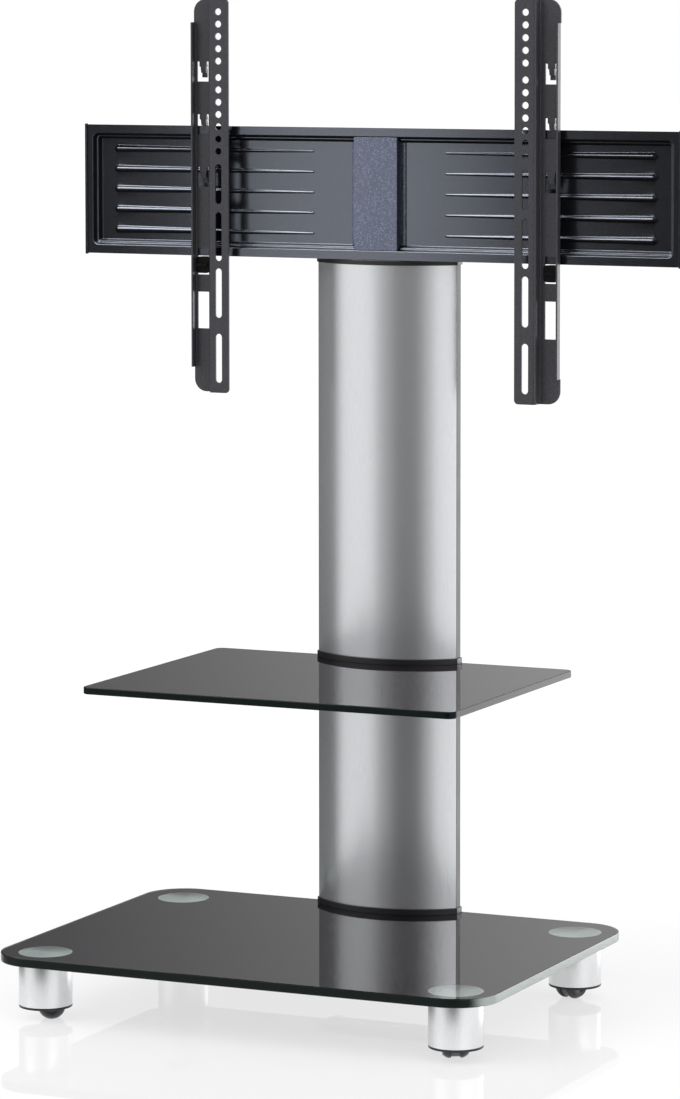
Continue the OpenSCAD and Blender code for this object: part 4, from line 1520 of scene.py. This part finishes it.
@dataclass
class Studio:
    """The floor, the lights and the camera.

    The focal length and the sideways shift are in pixels of a picture that is frame_height high.
    Each of surround has an azimuth in degrees and how bright the surroundings are there.
    """

    camera_place: Place = (2.2012, -4.7074, 1.1416)
    camera_turn: float = 24.115
    camera_tilt: float = 4.244
    frame_height: float = 1099.0
    focal: float = 4652.3
    shift_aside: float = -48.88
    shift_up: float = -0.19
    sensor: float = 36.0
    floor_half: float = 40.0
    ambient: float = 0.72
    floor_tone: float = 0.93
    floor_glow: float = 0.72
    floor_light: float = 1.07
    floor_mirror: float = 0.14
    floor_reach: Flat = (0.2, 0.5)
    mirror_reach: Flat = (0.6, 0.9)
    card_colour: Colour = (0.80, 0.86, 1.0)
    hottest: float = 4.0
    overhead: float = 2.2
    overhead_reach: Flat = (0.35, 0.75)
    clip_end: float = 100.0
    surround: tuple[Flat, ...] = (
        (-180, 0.8), (-164, 0.8), (-148, 0.12), (-120, 0.12), (-82, 0.14), (-62, 0.92),
        (-32, 0.92), (-12, 0.36), (3, 0.12), (22, 0.12), (34, 0.45), (46, 0.92), (80, 1.05),
        (112, 1.05), (134, 0.8), (146, 3.6), (166, 3.6), (178, 0.8), (180, 0.8),
    )
    softboxes: tuple[Softbox, ...] = (
        Softbox("key_softbox", -50, 42, 1.2, 40), Softbox("fill_softbox", 62, 35, 0.6, 50),
    )
    cards: tuple[Card, ...] = (
        Card("plate_card", (-0.38, -0.60, 0.87), (-0.03, 0.18, 0.914), (0.34, 0.5), 11.0),
        Card("bead_card", (-0.45, -0.15, 1.6), (-0.45, -0.14, 0.9), (1.0, 1.1), 260.0),
    )
    shined: bpy.types.Collection = field(
        default_factory=lambda: bpy.data.collections.new("shined_on")
    )

    def camera(self) -> None:
        """Puts the camera where the photograph was taken from."""
        data = bpy.data.cameras.new("camera")
        data.sensor_fit = "AUTO"
        data.sensor_width = self.sensor
        data.lens = self.focal / self.frame_height * self.sensor
        data.shift_x, data.shift_y = self.shift_aside / self.frame_height, self.shift_up
        data.clip_end = self.clip_end
        made = Bench.show("camera", data)
        made.location = self.camera_place
        made.rotation_euler = (
            math.radians(90 - self.camera_tilt), 0.0, math.radians(self.camera_turn)
        )
        bpy.context.scene.camera = made

    def floor(self) -> None:
        """Lays a pale glossy floor that keeps the shadow and mirrors the feet faintly."""
        shape = bmesh.new()
        bmesh.ops.create_grid(shape, x_segments=1, y_segments=1, size=self.floor_half)
        made = Bench.raise_object("floor", shape, scale=1.0)
        material = bpy.data.materials.new("studio_floor")
        material.use_nodes = True
        graph = Graph(material.node_tree)
        path = graph.node("ShaderNodeLightPath")
        tone = opaque((self.floor_tone,) * 3)
        matt = graph.node("ShaderNodeBsdfDiffuse", None, {"Color": tone})[0]
        glow = graph.node("ShaderNodeEmission", None, {"Strength": self.floor_light})[0]
        mirror = graph.node("ShaderNodeBsdfGlossy", None, {"Roughness": 0.0})[0]
        clear = graph.node("ShaderNodeBsdfTransparent")[0]
        off = graph.from_axis(graph.place())
        polish = off.step(*self.mirror_reach, self.floor_mirror, 0.0)

        def mix(share: Signal | float, first: Signal, second: Signal) -> Signal:
            """Returns two shaders mixed."""
            return graph.node("ShaderNodeMixShader", None, {0: share, 1: first, 2: second})[0]

        seen = mix(polish, mix(self.floor_glow, matt, glow), mirror)
        direct = (path["Is Camera Ray"] + path["Is Transmission Ray"]).least(1.0)
        away = path["Ray Length"].step(*self.floor_reach)
        far = path["Is Glossy Ray"] * away
        near = path["Is Glossy Ray"] * (1 - away)
        surface = mix(far, mix((direct + near).least(1.0), matt, seen), clear)
        graph.node("ShaderNodeOutputMaterial", None, {"Surface": surface})
        made.data.materials.append(material)

    def surroundings(self) -> None:
        """Makes the white background and the soft cards that metal and glass mirror."""
        world = bpy.data.worlds.new("studio")
        bpy.context.scene.world = world
        world.use_nodes = True
        graph = Graph(world.node_tree)
        path = graph.node("ShaderNodeLightPath")
        way = graph.parts(graph.node("ShaderNodeTexCoord")["Generated"])
        azimuth = way["X"].maths("ARCTAN2", way["X"], -way["Y"])
        stops = [((turn + 180) / 360, level / self.hottest) for turn, level in self.surround]
        ramp = graph.node("ShaderNodeValToRGB", {"stops": stops}, {"Fac": azimuth / math.tau + 0.5})
        around = graph.channel(ramp["Color"], "Red") * self.hottest
        around = around + way["Z"].step(*self.overhead_reach) * self.overhead
        glossy = path["Is Glossy Ray"]
        mirrored = glossy * path["Is Singular Ray"]
        seen = (path["Is Camera Ray"] + path["Is Transmission Ray"] + mirrored).least(1.0)
        lit = self.ambient + glossy * (around - self.ambient)
        back = graph.node("ShaderNodeBackground", None, {
            "Color": (1.0, 1.0, 1.0, 1.0), "Strength": seen + (1 - seen) * lit,
        })
        graph.node("ShaderNodeOutputWorld", None, {"Surface": back[0]})

    @staticmethod
    def hang(data: bpy.types.Light, way: Vector) -> bpy.types.Object:
        """Puts a light into the scene, shining the given way."""
        made = Bench.show(data.name, data)
        made.rotation_euler = way.to_track_quat("-Z", "Y").to_euler()
        return made

    def add_softbox(self, box: Softbox) -> None:
        """Adds a broad distant light."""
        data = bpy.data.lights.new(box.name, "SUN")
        data.energy = box.strength
        data.angle = math.radians(box.spread)
        turn, rise = math.radians(box.azimuth), math.radians(box.elevation)
        level = math.cos(rise)
        back = Vector((math.sin(turn) * level, -math.cos(turn) * level, math.sin(rise)))
        self.hang(data, -back)

    def add_card(self, card: Card) -> None:
        """Adds a near card that shines on the linked pieces alone."""
        data = bpy.data.lights.new(card.name, "AREA")
        data.shape = "RECTANGLE"
        data.size, data.size_y = card.size
        data.energy = card.power
        data.color = self.card_colour
        made = self.hang(data, Vector(card.aim) - Vector(card.place))
        made.location = card.place
        made.visible_diffuse = False
        made.visible_camera = False
        made.light_linking.receiver_collection = self.shined

    def build(self) -> None:
        """Sets the whole studio up."""
        self.camera()
        self.floor()
        self.surroundings()
        for box in self.softboxes:
            self.add_softbox(box)
        for card in self.cards:
            self.add_card(card)
        bpy.context.scene.view_settings.view_transform = "Standard"


def main() -> None:
    """Builds the studio and every sub-assembly."""
    studio = Studio()
    studio.build()
    shop = FastenerShop()
    for assembly in (Base(), Column(), Shelf(), MountPlate()):
        assembly.build(shop)
        log.info("%s built", type(assembly).__name__)
    ScreenRails().build()
    for name in ("pressed_mount_plate", "box_bracket_finished"):
        studio.shined.objects.link(bpy.data.objects[name])


if __name__ == "__main__":
    main()
